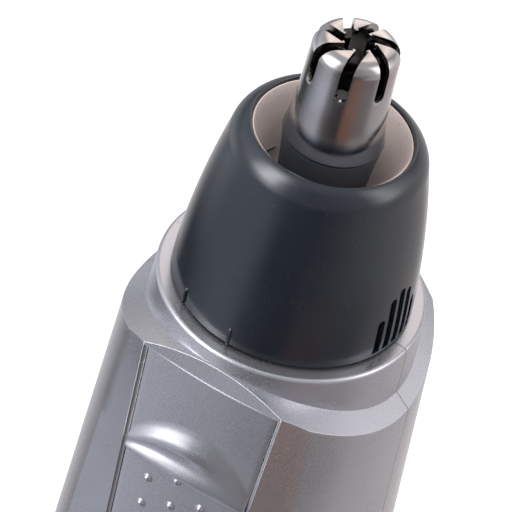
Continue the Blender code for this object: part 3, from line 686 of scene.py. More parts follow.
def side_and_facet(z, panel_x, facet_x):
    """Points (x, distance from the parting plane) from the side to the panel's edge."""
    grow = swell(z)
    side = SIDE + grow
    corner = (facet_x + 0.98 * grow, FACET_Y + 0.95 * grow)
    centre = (corner[0] ** 2 + corner[1] ** 2 - side ** 2) / (2 * (corner[0] - side))
    radius = side - centre
    end = math.atan2(corner[1], corner[0] - centre)
    points = []
    for k in range(SIDE_STEPS + 1):
        a = end * k / SIDE_STEPS
        points.append((centre + radius * math.cos(a), radius * math.sin(a)))
    edge = (panel_half_width(z, panel_x), PANEL_Y + grow)
    for k in range(1, FACET_STEPS + 1):
        t = k / FACET_STEPS
        points.append((corner[0] * (1 - t) + edge[0] * t, corner[1] * (1 - t) + edge[1] * t))
    return points


def half_columns(z, front):
    """Columns (x, distance, kind) from the side to the panel's middle."""
    if not front:
        points = side_and_facet(z, BACK_PANEL_X, BACK_FACET_X)
        width, flat = points[-1]
        columns = [(x, d, "skin") for x, d in points]
        return columns + [(width * s, flat, "skin") for s in (0.75, 0.5, 0.25, 0.0)]
    points = side_and_facet(z, PANEL_X, FACET_X)
    width, flat = points[-1]
    inner = width - GROOVE + 0.08
    columns = [(x, d, "skin") for x, d in points]
    columns += [(width, flat, "ledge"), (inner, flat, "ledge")]
    return columns + [(inner * s, flat, "floor") for s in (1.0, 0.8, 0.6, 0.4, 0.2, 0.0)]


def full_outline(z, scale=1.0, front_scale=None):
    """Whole section as a ring, front half first."""
    ring = []
    for front, sign, share in ((True, -1, front_scale or scale), (False, 1, scale)):
        half = side_and_facet(z, PANEL_X if front else BACK_PANEL_X, FACET_X if front else BACK_FACET_X)
        width, flat = half[-1]
        half = half + [(width * s, flat) for s in (0.75, 0.5, 0.25, 0.0)]
        half = half + [(-x, d) for x, d in reversed(half[:-1])]
        points = [(x * scale, SEAM_Y + sign * d * share, z) for x, d in half]
        ring += points if front else points[-2:0:-1]
    return ring


def shell_ring(front, height, recess=False, lens=False):
    """One ring of a shell: height is a function of x; recess rings dip into the switch's bed.

    A lens ring leans back above the line between the switch plate and its bevel.
    """
    sign = -1 if front else 1
    ring = []
    for index, (guess, _d, _kind) in enumerate(half_columns(SHOULDER_Z, front)):
        x = half_columns(height(guess), front)[index][0]
        z = height(x)
        x, d, kind = half_columns(z, front)[index]
        if recess and kind == "floor":
            d -= RECESS_DEPTH
        if recess and kind == "ledge":
            d -= LEDGE_DEPTH
        if lens and kind != "skin":
            d -= LENS_LEAN * max(crown(x) - smile(x) - EDGE_DROP, 0.0)
        ring.append((x, max(d, SEAM_HALF_GAP), z))
    ring[0] = (ring[0][0], SEAM_HALF_GAP, ring[0][2])
    ring = ring + [(-x, d, z) for x, d, z in reversed(ring[:-1])]
    return [(x, SEAM_Y + sign * d, z) for x, d, z in ring]


def collar_ring(front, edge, radius, z=None):
    """Half of the collar at height z, or on the shoulder, in the directions of the edge ring's points."""
    seam = SEAM_Y + (-SEAM_HALF_GAP if front else SEAM_HALF_GAP)
    ring = []
    for index, (x, y, _z) in enumerate(edge):
        if index in (0, len(edge) - 1):
            px, py = math.copysign(math.sqrt(radius ** 2 - seam ** 2), x), seam
        else:
            length = math.hypot(x, y)
            px, py = x * radius / length, y * radius / length
        ring.append((px, py, crown(px) if z is None else z))
    return ring


def top_line(front):
    """Heights of a shell's edge with the crowned shoulder, or of the smile line on the panel."""
    def height(x):
        if front and abs(x) < PANEL_X - 0.001:
            return smile(x)
        return crown(x) - EDGE_DROP
    return height


def shell_rings(front):
    """All rings of a shell, from its foot over the shoulder to the collar's top."""
    recess_foot = PLATE_FOOT - SWITCH_TRAVEL - RECESS_SPARE
    line = top_line(front)
    rings = []

    def level(z, **options):
        rings.append(shell_ring(front, lambda x: z, **options))

    for z in (SHELL_FOOT, 50.0, 52.0, 54.0, 56.5):
        level(z)
    if front:
        level(recess_foot)
        level(recess_foot, recess=True)
        for k in range(12):
            level(recess_foot + (BEND_Z - recess_foot) * (k + 0.5) / 12, recess=True)
        level(BEND_Z, recess=True)
    else:
        for k in range(12):
            level(58.5 + 3.0 * k)
    for share in [k / 8 for k in range(1, 8)]:
        rings.append(shell_ring(front, lambda x: BEND_Z + (line(x) - BEND_Z) * share, recess=front))
    if front:
        rings.append(shell_ring(front, line, recess=True))
    rings.append(shell_ring(front, line))
    edge = shell_ring(front, crown, lens=front)
    rings.append(edge)
    rings.append(collar_ring(front, edge, COLLAR_FOOT_R))
    rings.append(collar_ring(front, edge, COLLAR_R, COLLAR_TOP - COLLAR_ROUND))
    for k in range(1, COLLAR_STEPS + 1):
        a = math.radians(90 * k / COLLAR_STEPS)
        radius = COLLAR_R - COLLAR_ROUND * (1 - math.cos(a))
        rings.append(collar_ring(front, edge, radius, COLLAR_TOP - COLLAR_ROUND * (1 - math.sin(a))))
    return rings


def cavity(posts_radius):
    """The hollow of the shells without the screw posts that cross it."""
    levels = (40.0, 50.0, 58.0, 65.0, 80.0, DECK_Z)
    hollow = loft("tool", [full_outline(z, WALL_SCALE, FRONT_WALL_SCALE) for z in levels])
    post = [(0, -20.0), (posts_radius, -20.0), (posts_radius, 20.0), (0, 20.0)]
    return cut(hollow, *[along_y(x, z, post) for x, z in SCREWS])


def bore():
    return lathe("tool", [(0, 96.9), (LOWER_BORE_R, 96.9), (LOWER_BORE_R, BORE_FLOOR),
                          (BORE_R, BORE_FLOOR), (BORE_R, 106.0), (0, 106.0)], 96)


def rubbed_and_highlit_edge(x, y, z):
    """Whether the sharp edges round the switch panel, with their rubbed finish and painted highlight, pass
    here.
    """
    return abs(x) < PANEL_X + 0.25 and y < SEAM_Y - 6.0 and RIDGE_FOOT < z < CROWN_TOP + 0.25


def choose_edges(obj, chosen):
    """Keep the rubbed finish with its painted highlight on the bevels where chosen is true; the rest are
    plain paint.
    """
    for face in obj.data.polygons:
        if face.material_index == 1 and not chosen(*(face.center / MM)):
            face.material_index = 0
    return obj


def make_shell(front):
    """One half of the body with its hollow, its screw holes, the bore and the switch's slot."""
    bm = bmesh.new()
    skin(bm, shell_rings(front))
    merge(bm)
    seam_plane = SEAM_Y + (-SEAM_HALF_GAP if front else SEAM_HALF_GAP)
    bmesh.ops.recalc_face_normals(bm, faces=bm.faces)
    weigh_edges(bm, SHELL_SOFT_ANGLE, seam_plane)
    shell = bevel_weighted(mesh_object("shell", bm), EDGE_WIDTH)
    if front:
        hole = [(0, -8.0), (SCREW_HOLE_R, -8.0), (SCREW_HOLE_R, 1.0), (0, 1.0)]
    else:
        seat = SCREW_HEAD_Y - 0.3
        hole = [(0, -3.0), (SCREW_HOLE_R, -3.0), (SCREW_HOLE_R, seat),
                (SCREW_SINK_R, seat), (SCREW_SINK_R, 20.0), (0, 20.0)]
    cut(shell, cavity(FRONT_POST_R if front else REAR_POST_R))
    cut(shell, *[along_y(x, z, hole) for x, z in SCREWS])
    if front:
        cut(shell, block(*SWITCH_SLOT))
    cut(shell, bore())
    # painted highlight: the bevels round the switch panel keep the paler edge finish
    choose_edges(shade(shell), rubbed_and_highlit_edge if front else lambda x, y, z: False)
    name = "front_shell" if front else "rear_shell"
    return place(shell, f"{name}_skin", "housing", "silver_paint", nodes=(name,))


def battery_cover():
    """The lower body as a cup: round base edge, straight tongue inside the shells."""
    def shrunk(z, inset):
        ring = []
        for (x, y, _z) in full_outline(z):
            length = math.hypot(x, y - SEAM_Y)
            ring.append((x * (1 - inset / length), SEAM_Y + (y - SEAM_Y) * (1 - inset / length), z))
        return ring

    outside = []
    for k in range(6):
        a = math.radians(90 * k / 5)
        foot = BASE_ROUND * (1 - math.sin(a)) if k < 5 else 0.0
        outside.append(shrunk(foot, BASE_ROUND * (1 - math.cos(a))))
    outside = outside[::-1]
    heights = [3.0, 6.0] + [10.0 + 4.0 * k for k in range(9)] + [45.0, COVER_TOP]
    outside += [full_outline(z) for z in heights]
    tongue = [full_outline(COVER_TOP, *TONGUE_OUTER), full_outline(TONGUE_TOP, *TONGUE_OUTER),
              full_outline(TONGUE_TOP, *TONGUE_INNER), full_outline(45.0, *TONGUE_INNER)]
    inside = [full_outline(z, WALL_SCALE) for z in (43.5, 30.0, 15.0, 2.4)]
    bm = bmesh.new()
    skin(bm, outside + tongue + inside)
    merge(bm)
    bmesh.ops.recalc_face_normals(bm, faces=bm.faces)
    weigh_edges(bm, COVER_SOFT_ANGLE)
    cover = bevel_weighted(mesh_object("cover", bm), EDGE_WIDTH)
    choose_edges(shade(cover), lambda x, y, z: False)
    return place(cover, "battery_cover_skin", "cover", "silver_paint", nodes=("battery_cover",))


# ---- switch plate

RIDGE_PROFILE = (
    # share of the way from the foot to the top, share of the height
    (0.0, 0.30), (0.04, 0.60), (0.10, 0.90), (0.17, 0.95), (0.26, 0.76), (0.35, 0.50), (0.42, 0.45),
    (0.50, 0.62), (0.58, 0.80), (0.67, 0.75), (0.77, 0.48), (0.88, 0.18), (0.95, 0.05), (1.0, 0.0),
)
RIDGE_RIGHT = (
    (0.0, 0.30), (0.05, 0.60), (0.13, 0.80), (0.25, 0.80), (0.42, 0.60), (0.60, 0.38), (0.78, 0.17),
    (0.92, 0.03), (1.0, 0.0),
)


def smooth_curve(points, t):
    """A smooth line through the points."""
    if t <= points[0][0]:
        return points[0][1]
    for k in range(len(points) - 1):
        (x0, y0), (x1, y1) = points[k], points[k + 1]
        if t <= x1:
            before = points[max(k - 1, 0)]
            after = points[min(k + 2, len(points) - 1)]
            slope_in = (y1 - before[1]) / (x1 - before[0]) * (x1 - x0)
            slope_out = (after[1] - y0) / (after[0] - x0) * (x1 - x0)
            return hermite((t - x0) / (x1 - x0), y0, slope_in, y1, slope_out)
    return points[-1][1]


def ridge(x, z):
    """Lens-shaped thumb ridge with a crease between its two bulges, which fades to the right."""
    half = panel_half_width(z)
    across = max(1.0 - 0.88 * (x / half) ** 2, 0.0)
    span = (RIDGE_TOP - RIDGE_FOOT) * across ** 0.75
    if span < 0.05 or z > RIDGE_FOOT + span:
        return 0.0
    height = RIDGE_HEIGHT * across ** 0.55
    if z < RIDGE_FOOT:
        drop = (RIDGE_FOOT - z) / 0.16
        return height * RIDGE_PROFILE[0][1] * max(1.0 - drop, 0.0) ** 1.5
    share = (z - RIDGE_FOOT) / span
    soft = hermite(min(max(x / half / 0.7 + 0.15, 0.0), 1.0), 0.0, 0.0, 1.0, 0.0)
    crease, smooth = smooth_curve(RIDGE_PROFILE, share), smooth_curve(RIDGE_RIGHT, share)
    return height * (crease * (1 - soft) + smooth * soft)


def dot_centres():
    """Centres (x, z) of the grip dots, in arched rows of three."""
    places = []
    for row in range(DOT_ROWS):
        for column in (-1, 0, 1):
            z = DOT_ROW_Z - row * DOT_ROW_PITCH + DOT_RISE * (1 - abs(column))
            places.append((DOT_X + column * DOT_X_PITCH, z))
    return places


DOTS = dot_centres()


def dot(x, z):
    """How far a round grip dot, with its small foot, stands proud of the plate."""
    for cx, cz in DOTS:
        reach = math.hypot(x - cx, z - cz) / DOT_R
        if reach < 1.25:
            if reach < 1.0:
                return DOT_HEIGHT * math.sqrt(max(1 - 0.93 * reach * reach, 0.0))
            return DOT_HEIGHT * 0.26 * (1 - (reach - 1.0) / 0.25)
    return 0.0


def refined(start, end, step, centres, reach, fine):
    """Grid lines at step, with closer lines round the centres."""
    steps = round((end - start) / step)
    values = [start + (end - start) * k / steps for k in range(steps + 1)]
    for centre in centres:
        count = round(reach / fine)
        values += [centre + fine * k for k in range(-count, count + 1)]
    kept = []
    for value in sorted(v for v in values if start <= v <= end):
        if not kept or value - kept[-1] > 0.4 * fine:
            kept.append(value)
    return kept


def power_switch():
    """The switch plate: a grid with round edges whose front carries the ridge and the dots."""
    edge_radius = 0.16
    edge_steps = (0.0, 0.02, 0.05, 0.09, 0.16)
    straight = 4.3
    smile_start = 97.0
    columns = refined(-straight, straight, 0.43, [DOT_X + k * DOT_X_PITCH for k in (-1, 0, 1)], 0.56, 0.09)
    outer = [straight + k * 0.3 for k in range(1, 9)]
    half = PANEL_X - GROOVE
    outer = [x for x in outer if x < half - 0.3] + [half - s for s in reversed(edge_steps)]
    columns = [-x for x in reversed(outer)] + columns + outer
    rows = refined(PLATE_FOOT + 0.3, PLATE_TOP - 0.3, 0.9, [z for _x, z in DOTS], 0.56, 0.09)
    rows += [RIDGE_FOOT - 0.35 + 0.07 * k for k in range(14)]
    rows += [RIDGE_FOOT + 0.62 + 0.14 * k for k in range(46)]
    rows = sorted(rows)
    rows = [z for k, z in enumerate(rows) if k == 0 or z - rows[k - 1] > 0.02]
    rows = [PLATE_FOOT + s for s in edge_steps] + rows + [PLATE_TOP - s for s in reversed(edge_steps)]

    def round_off(distance):
        inward = max(edge_radius - distance, 0.0)
        return edge_radius - math.sqrt(max(edge_radius ** 2 - inward ** 2, 0.0))

    bm = bmesh.new()
    front, back = [], []
    for row in rows:
        front_line, back_line = [], []
        for column in columns:
            share = max(row - smile_start, 0.0) / (PLATE_TOP - smile_start)
            width = panel_half_width(row) - GROOVE
            x = column
            if abs(column) > straight:
                stretch = (width - straight) / (half - straight)
                x = math.copysign(straight + (abs(column) - straight) * stretch, column)
            z = row + share * (smile(x) - PLATE_TOP) - 0.07 * share
            outward = ridge(x, z) + dot(x, z) - PLATE_CROWN * x * x
            inset = round_off(min(half - abs(column), row - PLATE_FOOT, PLATE_TOP - row))
            front_line.append(bm.verts.new((x, front_y(z) - outward + inset, z)))
            back_line.append(bm.verts.new((x, front_y(z) + PLATE_THICK, z)))
        front.append(front_line)
        back.append(back_line)
    last = len(columns) - 1
    for k in range(len(rows) - 1):
        for i in range(last):
            bm.faces.new((front[k][i], front[k][i + 1], front[k + 1][i + 1], front[k + 1][i]))
            bm.faces.new((back[k][i + 1], back[k][i], back[k + 1][i], back[k + 1][i + 1]))
        bm.faces.new((back[k][0], front[k][0], front[k + 1][0], back[k + 1][0]))
        bm.faces.new((front[k][last], back[k][last], back[k + 1][last], front[k + 1][last]))
    for i in range(last):
        bm.faces.new((back[0][i], back[0][i + 1], front[0][i + 1], front[0][i]))
        bm.faces.new((front[-1][i], front[-1][i + 1], back[-1][i + 1], back[-1][i]))
    plate = mesh_object("plate", bm, 50)
    fuse(plate, block((-2.0, front_y(87.0) + 1.0, 83.0), (2.0, -11.2, 87.0)))
    plate.data.shade_smooth()
    plate.data.set_sharp_from_angle(angle=math.radians(50))
    return place(plate, "power_switch_skin", "switch", "silver_paint", nodes=("power_switch",))


# ---- head

def head_radius(t):
    """Radius of the head's side at a share t of the way from its foot to its rim."""
    return HEAD_FOOT_R * (1 - t) + HEAD_TOP_R * t + HEAD_BULGE * t * (1 - t)


def head_outside():
    """The head's side, with a faint band round its foot."""
    points = [(HEAD_FOOT_R - 0.16, HEAD_FOOT), (HEAD_FOOT_R - 0.03, HEAD_FOOT + 0.10)]
    for k in range(1, 25):
        t = k / 24
        z = HEAD_FOOT * (1 - t) + HEAD_TOP_Z * t
        points.append((head_radius(t) - (BAND_DEPTH if z < BAND_TOP else 0.0), z))
    return points


def directions(angle):
    """Away from the axis at this angle, and square to that."""
    out = Vector((math.cos(angle), math.sin(angle), 0))
    return out, Vector((-out.y, out.x, 0))


def vent_tool(angle, height):
    """Cutter of an arched vent that stands on the head's foot."""
    half = VENT_WIDTH / 2
    out, across = directions(angle)
    foot = HEAD_FOOT + 0.35
    top = HEAD_FOOT + height - half
    outline = [(-half, foot), (half, foot)]
    outline += [(half * math.cos(a), top + half * math.sin(a)) for a in HALF_TURN]
    rings = [[out * reach + across * s + Vector((0, 0, z)) for s, z in outline] for reach in VENT_REACH]
    return loft("tool", rings)


def rib_tool(angle):
    """A small upright rib on the head's foot."""
    out, across = directions(angle)
    half = RIB_WIDTH / 2
    rings = []
    for rise, proud in RIB_LEVELS:
        z = HEAD_FOOT + rise
        radius = head_radius((z - HEAD_FOOT) / (HEAD_TOP_Z - HEAD_FOOT))
        outline = [(-half, -0.5), (half, -0.5), (half, proud * 0.6),
                   (half * 0.5, proud), (-half * 0.5, proud), (-half, proud * 0.6)]
        rings.append([out * (radius + r) + across * s + Vector((0, 0, z)) for s, r in outline])
    return loft("tool", rings)


def head_cover():
    """The cone with its round rim, hollow inside, its spigot with the seal's groove, vents and ribs."""
    outside = head_outside()
    crest = arc(*RIM_CENTRE, RIM_ROUND_R, 8, 62, 14)[1:]
    lip = arc(HEAD_RIM_R + 0.22, NECK_TOP + 0.07, 0.22, 90, 180, 4)
    inner = [(HEAD_RIM_R, NECK_TOP - 0.5), (8.3, NECK_TOP - 2.0), (9.75, 114.0), (10.65, 106.3),
             (9.3, 105.7), (9.3, HEAD_SPIGOT_FOOT)]
    spigot = [(SPIGOT_R, HEAD_SPIGOT_FOOT), (SPIGOT_R, 102.4), (SEAL_GROOVE_R, 102.4),
              (SEAL_GROOVE_R, 103.8), (SPIGOT_R, 103.8), (SPIGOT_R, HEAD_FOOT)]
    cover = lathe("cover", outside + crest + lip + inner + spigot, 160)
    tools = []
    for mirror in (1, -1):
        for k, height in enumerate(VENT_HEIGHTS):
            angle = math.radians(VENT_MIDDLE + (k - 2) * VENT_PITCH)
            if mirror < 0:
                angle = math.pi - angle
            tools.append(vent_tool(angle, height))
    cut(cover, *tools)
    fuse(cover, *[rib_tool(math.radians(a)) for a in RIB_TURNS])
    shade(cover)
    return place(cover, "head_cover_skin", "head", "slate_plastic", nodes=("head_cover",))


def intake_funnel():
    """The lining from the rim down to the blade's neck."""
    lip = arc(HEAD_RIM_R - 0.13, NECK_TOP - 0.12, 0.09, 0, 150, 6)
    funnel = lathe("funnel", lip + [
        (7.1, 122.6), (6.55, 121.3), (6.1, 120.3), (5.1, 117.3), (4.72, 116.9),
        (5.6, 116.9), (6.6, 119.6), (8.0, 119.8), (8.0, 120.6), (7.2, 121.4)], 128)
    return place(shade(funnel, 40), "intake_funnel_skin", "head", "satin_silver", nodes=("intake_funnel",))


def dash(bm, start, end, normal, width, thick):
    """A thin flat bar from start to end on a surface with the given normal."""
    start, end, normal = Vector(start), Vector(end), Vector(normal).normalized()
    across = (end - start).cross(normal).normalized() * (width / 2)
    rings = []
    for point in (start, end):
        rings.append([point - across - normal * 0.05, point + across - normal * 0.05,
                      point + across + normal * thick, point - across + normal * thick])
    skin(bm, rings)


def polar(angle, radius, z):
    turn = math.radians(angle)
    return Vector((radius * math.cos(turn), radius * math.sin(turn), z))


def small_marks():
    """A hair-thin scratch and specks in the funnel, and a short dark dash on the neck."""
    bm = bmesh.new()
    inward = Vector((0.85, 0.2, 0.5))
    dash(bm, polar(-166, 5.6, 118.8), polar(175, 5.4, 118.2), inward, 0.10, 0.04)
    for angle in (57, 42):
        foot = polar(angle, 7.28, 123.1)
        dash(bm, foot, foot + Vector((0.0, 0.16, 0.06)), -polar(angle, 1.0, -0.4), 0.16, 0.04)
    place(mesh_object("mark", bm), "funnel_marks", "head", "ink", "black_plastic")
    bm = bmesh.new()
    dash(bm, polar(-100, 4.72, 122.9), polar(-96, 4.71, 122.7), polar(-98, 1.0, 0.05), 0.16, 0.03)
    place(mesh_object("mark", bm), "neck_mark", "blade_block", "ink", "black_plastic")


def blade_neck():
    """The dark socket below the blade, with the flange that holds it in the head."""
    neck = lathe("neck", [
        (3.95, NECK_TOP + 1.1), (3.95, NECK_TOP - 0.2), (4.66, NECK_TOP - 0.2), (4.73, NECK_TOP - 0.24),
        (4.75, NECK_TOP - 0.32), (4.7, NECK_TOP - 0.8), (4.55, NECK_TOP - 2.0), (4.4, NECK_TOP - 3.4),
        (4.32, 118.6), (4.32, 116.5), (5.9, 116.5), (5.9, 115.4), (3.6, 115.4), (3.6, NECK_TOP + 1.1)], 112)
    return place(shade(neck), "blade_neck_skin", "blade_block", "neck_slate", "slate_plastic",
                 ("blade_neck",))


def slot_tool(angle):
    """Cutter of a blade slot with a round foot; it misses the axis by SLOT_OFFSET."""
    half = SLOT_WIDTH / 2
    out, across = directions(angle)
    top = TIP_TOP + 2.0
    outline = [(half, top), (-half, top)]
    outline += [(-half * math.cos(a), SLOT_FOOT + half - half * math.sin(a)) for a in HALF_TURN]
    rings = []
    for reach in SLOT_REACH:
        rings.append([out * reach + across * (SLOT_OFFSET + s) + Vector((0, 0, z)) for s, z in outline])
    return loft("tool", rings)


def outer_blade():
    """The slotted cup with its round edge and its flared foot."""
    outside = [(4.78, NECK_TOP), (4.84, NECK_TOP + 0.05)]
    outside += [(4.82 - 0.40 * t, NECK_TOP + 2.4 * t) for t in (0.15, 0.4, 0.7, 1.0)]
    outside += [(4.36, CREASE_Z + 1.0), (4.28, CREASE_Z + 2.4), (4.2, CREASE_Z + 4.2)]
    centre = (BLADE_R - BLADE_EDGE_R, TIP_TOP - BLADE_EDGE_R)
    outside += arc(*centre, BLADE_EDGE_R, 3, 90, 14)
    inside = arc(*centre, BLADE_EDGE_R - BLADE_WALL, 90, 3, 8)
    profile = outside + [(BLADE_HOLE_R, TIP_TOP), (BLADE_HOLE_R, TIP_TOP - BLADE_WALL)] + inside
    profile += [(4.42 - BLADE_WALL, CREASE_Z), (4.78 - BLADE_WALL, NECK_TOP)]
    blade = lathe("blade", profile, 168)
    for k in range(SLOT_COUNT):
        cut(blade, slot_tool(math.radians(SLOT_TURN + 360 * k / SLOT_COUNT)))
    bevel(blade, 0.05, 2, limit_method="ANGLE", angle_limit=math.radians(42))
    shade(blade, 40)
    return place(blade, "outer_blade_skin", "blade_block", "blade_steel", nodes=("outer_blade",))


# ---- CAD nodes that stay

def finish_frame_nodes():
    """Give each CAD node that stays visible its procedural finish."""
    slots = {row["node"]: row["material_slot"] for row in frame["record"]["subparts"]}
    for name, obj in frame["nodes"].items():
        # painted shade: the inner blade gets the darkened copy of the blade steel
        finish = "shaded_inner_steel" if name == "inner_blade" else slots[name]
        for slot in obj.material_slots:
            slot.material = FINISH[finish]


# ---- studio

STUDIO_RADIUS = 3.0


def plain_object(name, bm):
    """Object of a bmesh that is already in metres."""
    mesh = bpy.data.meshes.new(name)
    bm.to_mesh(mesh)
    bm.free()
    obj = bpy.data.objects.new(name, mesh)
    bpy.context.scene.collection.objects.link(obj)
    return obj


def floor_and_backdrop():
    """A pale floor under a white dome; glossy surfaces see the studio of world() instead of both."""
    bm = bmesh.new()
    bmesh.ops.create_circle(bm, cap_ends=True, segments=64, radius=STUDIO_RADIUS)
    ground = plain_object("studio_floor", bm)
    ground.location.z = -0.0002
    material, _tree, shader = new_material("studio_floor")
    shader.inputs["Base Color"].default_value = (0.92, 0.92, 0.92, 1.0)
    shader.inputs["Roughness"].default_value = 0.9
    shader.inputs["Emission Color"].default_value = (1.0, 1.0, 1.0, 1.0)
    shader.inputs["Emission Strength"].default_value = 0.18
    ground.data.materials.append(material)
    bm = bmesh.new()
    bmesh.ops.create_icosphere(bm, subdivisions=4, radius=STUDIO_RADIUS)
    dome = plain_object("studio_dome", bm)
    material, _tree, shader = new_material("studio_dome")
    shader.inputs["Base Color"].default_value = (0.0, 0.0, 0.0, 1.0)
    shader.inputs["Specular IOR Level"].default_value = 0.0
    shader.inputs["Emission Color"].default_value = (1.0, 1.0, 1.0, 1.0)
    shader.inputs["Emission Strength"].default_value = 1.0
    dome.data.materials.append(material)
    for obj in (ground, dome):
        obj.visible_glossy = False


# The studio that shiny surfaces mirror, as bands of (turn from the front, colour).
# Turns are degrees about Z, 0 in front (-Y) and 90 to the right (+X).
LOW_BAND = (
    (-180, (0.95, 0.92, 0.92)), (-150, (1.0, 0.98, 1.0)), (-125, (0.55, 0.54, 0.56)),
    (-110, (0.05, 0.05, 0.055)), (-90, (0.07, 0.07, 0.08)), (-76, (0.20, 0.215, 0.26)),
    (-44, (0.50, 0.52, 0.60)), (-27, (0.52, 0.535, 0.62)), (-14, (0.18, 0.18, 0.21)),
    (4, (0.08, 0.075, 0.08)), (24, (0.05, 0.04, 0.04)), (35, (0.25, 0.135, 0.105)),
    (54, (0.24, 0.14, 0.115)), (66, (0.18, 0.155, 0.155)), (86, (0.20, 0.18, 0.18)),
    (105, (0.42, 0.39, 0.41)), (140, (0.54, 0.49, 0.49)), (165, (0.60, 0.55, 0.55)),
    (180, (0.95, 0.92, 0.92)),
)
SLANT_BAND = (
    (-180, (0.80, 0.77, 0.78)), (-140, (0.50, 0.50, 0.54)), (-112, (0.72, 0.75, 0.84)),
    (-92, (0.90, 0.95, 1.04)), (-70, (0.55, 0.57, 0.64)), (-40, (0.58, 0.61, 0.70)),
    (-22, (0.56, 0.58, 0.67)), (-4, (0.12, 0.12, 0.135)), (24, (0.07, 0.065, 0.075)),
    (45, (0.15, 0.135, 0.14)), (72, (0.44, 0.41, 0.43)), (105, (0.66, 0.62, 0.64)),
    (180, (0.80, 0.77, 0.78)),
)
LEVEL_BAND = (
    (-180, (0.60, 0.57, 0.58)), (-140, (0.20, 0.19, 0.22)), (-110, (0.40, 0.40, 0.44)),
    (-86, (0.66, 0.66, 0.71)), (-62, (0.75, 0.76, 0.82)), (-50, (1.6, 1.6, 1.68)),
    (-40, (2.9, 2.9, 3.0)), (-30, (2.8, 2.8, 2.9)), (-20, (1.2, 1.2, 1.26)), (-6, (0.30, 0.30, 0.33)),
    (14, (0.30, 0.30, 0.32)), (60, (0.26, 0.25, 0.26)), (95, (0.70, 0.67, 0.68)),
    (140, (0.90, 0.87, 0.87)), (180, (0.60, 0.57, 0.58)),
)
HIGH_BAND = (
    (-180, (1.0, 0.94, 0.92)), (-160, (1.65, 1.50, 1.43)), (-135, (0.55, 0.53, 0.54)),
    (-106, (0.70, 0.70, 0.75)), (-84, (0.95, 0.95, 1.0)), (-64, (1.2, 1.2, 1.26)),
    (-52, (4.5, 4.5, 4.7)), (-42, (7.4, 7.4, 7.8)), (-32, (6.6, 6.6, 7.0)), (-22, (1.8, 1.8, 1.9)),
    (-12, (0.50, 0.50, 0.55)), (14, (0.24, 0.24, 0.26)), (80, (0.50, 0.50, 0.53)),
    (103, (3.2, 3.15, 3.3)), (122, (1.5, 1.45, 1.5)), (145, (0.62, 0.60, 0.63)),
    (162, (0.38, 0.37, 0.40)), (171, (1.0, 0.95, 0.94)), (180, (1.0, 0.94, 0.92)),
)
BAND_PEAK = 9.0
ZENITH = (0.60, 0.60, 0.64)


def band(tree, turn, stops):
    """Colour of one band of the studio; a ramp holds values up to 1, so it is scaled."""
    colour = ramp(tree, spread(tree, turn, -math.pi, math.pi, 0.0, 1.0),
                  [((angle + 180) / 360, tuple(c / BAND_PEAK for c in tint)) for angle, tint in stops])
    return blend(tree, 1.0, colour, (BAND_PEAK, BAND_PEAK, BAND_PEAK), "MULTIPLY")


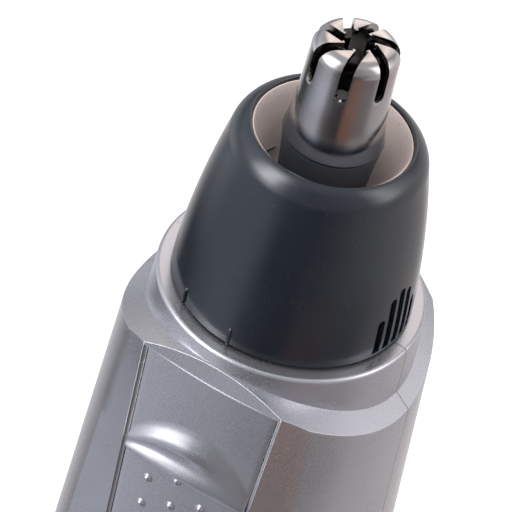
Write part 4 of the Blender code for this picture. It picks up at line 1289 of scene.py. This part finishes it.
def world():
    """Studio that is mirrored in glossy surfaces: bright back and windows, dim room in front."""
    studio = bpy.data.worlds.new("studio")
    studio.use_nodes = True
    studio.cycles.sampling_method = "NONE"
    tree = studio.node_tree
    tree.nodes.clear()
    way = node(tree, "ShaderNodeTexCoord").outputs["Generated"]
    split = node(tree, "ShaderNodeSeparateXYZ")
    tree.links.new(way, split.inputs[0])
    flip = node(tree, "ShaderNodeMath", operation="MULTIPLY")
    tree.links.new(split.outputs["Y"], flip.inputs[0])
    flip.inputs[1].default_value = -1.0
    turn = node(tree, "ShaderNodeMath", operation="ARCTAN2")
    tree.links.new(split.outputs["X"], turn.inputs[0])
    tree.links.new(flip.outputs[0], turn.inputs[1])
    height = split.outputs["Z"]
    colour = band(tree, turn.outputs[0], LOW_BAND)
    for start, end, stops in ((-0.58, -0.40, SLANT_BAND), (-0.14, 0.06, LEVEL_BAND), (0.12, 0.32, HIGH_BAND)):
        share = spread(tree, height, start, end, 0.0, 1.0)
        colour = blend(tree, share, colour, band(tree, turn.outputs[0], stops))
    colour = blend(tree, spread(tree, height, 0.72, 0.92, 0.0, 1.0), colour, ZENITH)
    shine = node(tree, "ShaderNodeBackground")
    tree.links.new(colour, shine.inputs["Color"])
    out = node(tree, "ShaderNodeOutputWorld")
    tree.links.new(shine.outputs[0], out.inputs["Surface"])
    bpy.context.scene.world = studio


def softbox():
    """A square area light at the upper left; glossy surfaces don't see it."""
    light = bpy.data.lights.new("soft_top_left", "AREA")
    light.shape = "RECTANGLE"
    light.size = 0.5
    light.size_y = 0.5
    light.energy = 4.0
    obj = bpy.data.objects.new("soft_top_left", light)
    way = Vector((-0.55, -0.25, 1.0)).normalized()
    obj.location = Vector((0, 0, 0.1)) + way * 0.8
    obj.rotation_euler = way.to_track_quat("Z", "Y").to_euler()
    obj.visible_glossy = False
    bpy.context.scene.collection.objects.link(obj)


def camera():
    """A rolled view from above, centred near the neck's top; moved aside to frame head and switch."""
    azimuth = math.radians(20.6)
    elevation = math.radians(43.01)
    roll = math.radians(14.69)
    distance, right_shift, up_shift = 221.2, -7.15, -11.42
    turn = Matrix.Rotation(azimuth, 3, "Z")
    back = turn @ Vector((0, -math.cos(elevation), math.sin(elevation)))
    right = turn @ Vector((1, 0, 0))
    up = back.cross(right)
    tilted_right = right * math.cos(roll) + up * math.sin(roll)
    tilted_up = up * math.cos(roll) - right * math.sin(roll)
    spot = Vector((0, 0, NECK_TOP)) + back * distance + tilted_right * right_shift + tilted_up * up_shift
    data = bpy.data.cameras.new("camera")
    data.lens = 168.75
    data.sensor_width = 36.0
    data.clip_start = 0.01
    obj = bpy.data.objects.new("camera", data)
    axes = Matrix((tilted_right, tilted_up, back)).transposed()
    obj.matrix_world = Matrix.Translation(spot * MM) @ axes.to_4x4()
    bpy.context.scene.collection.objects.link(obj)
    bpy.context.scene.camera = obj


def build():
    finish_frame_nodes()
    make_shell(True)
    make_shell(False)
    battery_cover()
    power_switch()
    head_cover()
    intake_funnel()
    blade_neck()
    outer_blade()
    small_marks()
    floor_and_backdrop()
    world()
    softbox()
    camera()
    bpy.context.scene.view_settings.view_transform = "Standard"


build()
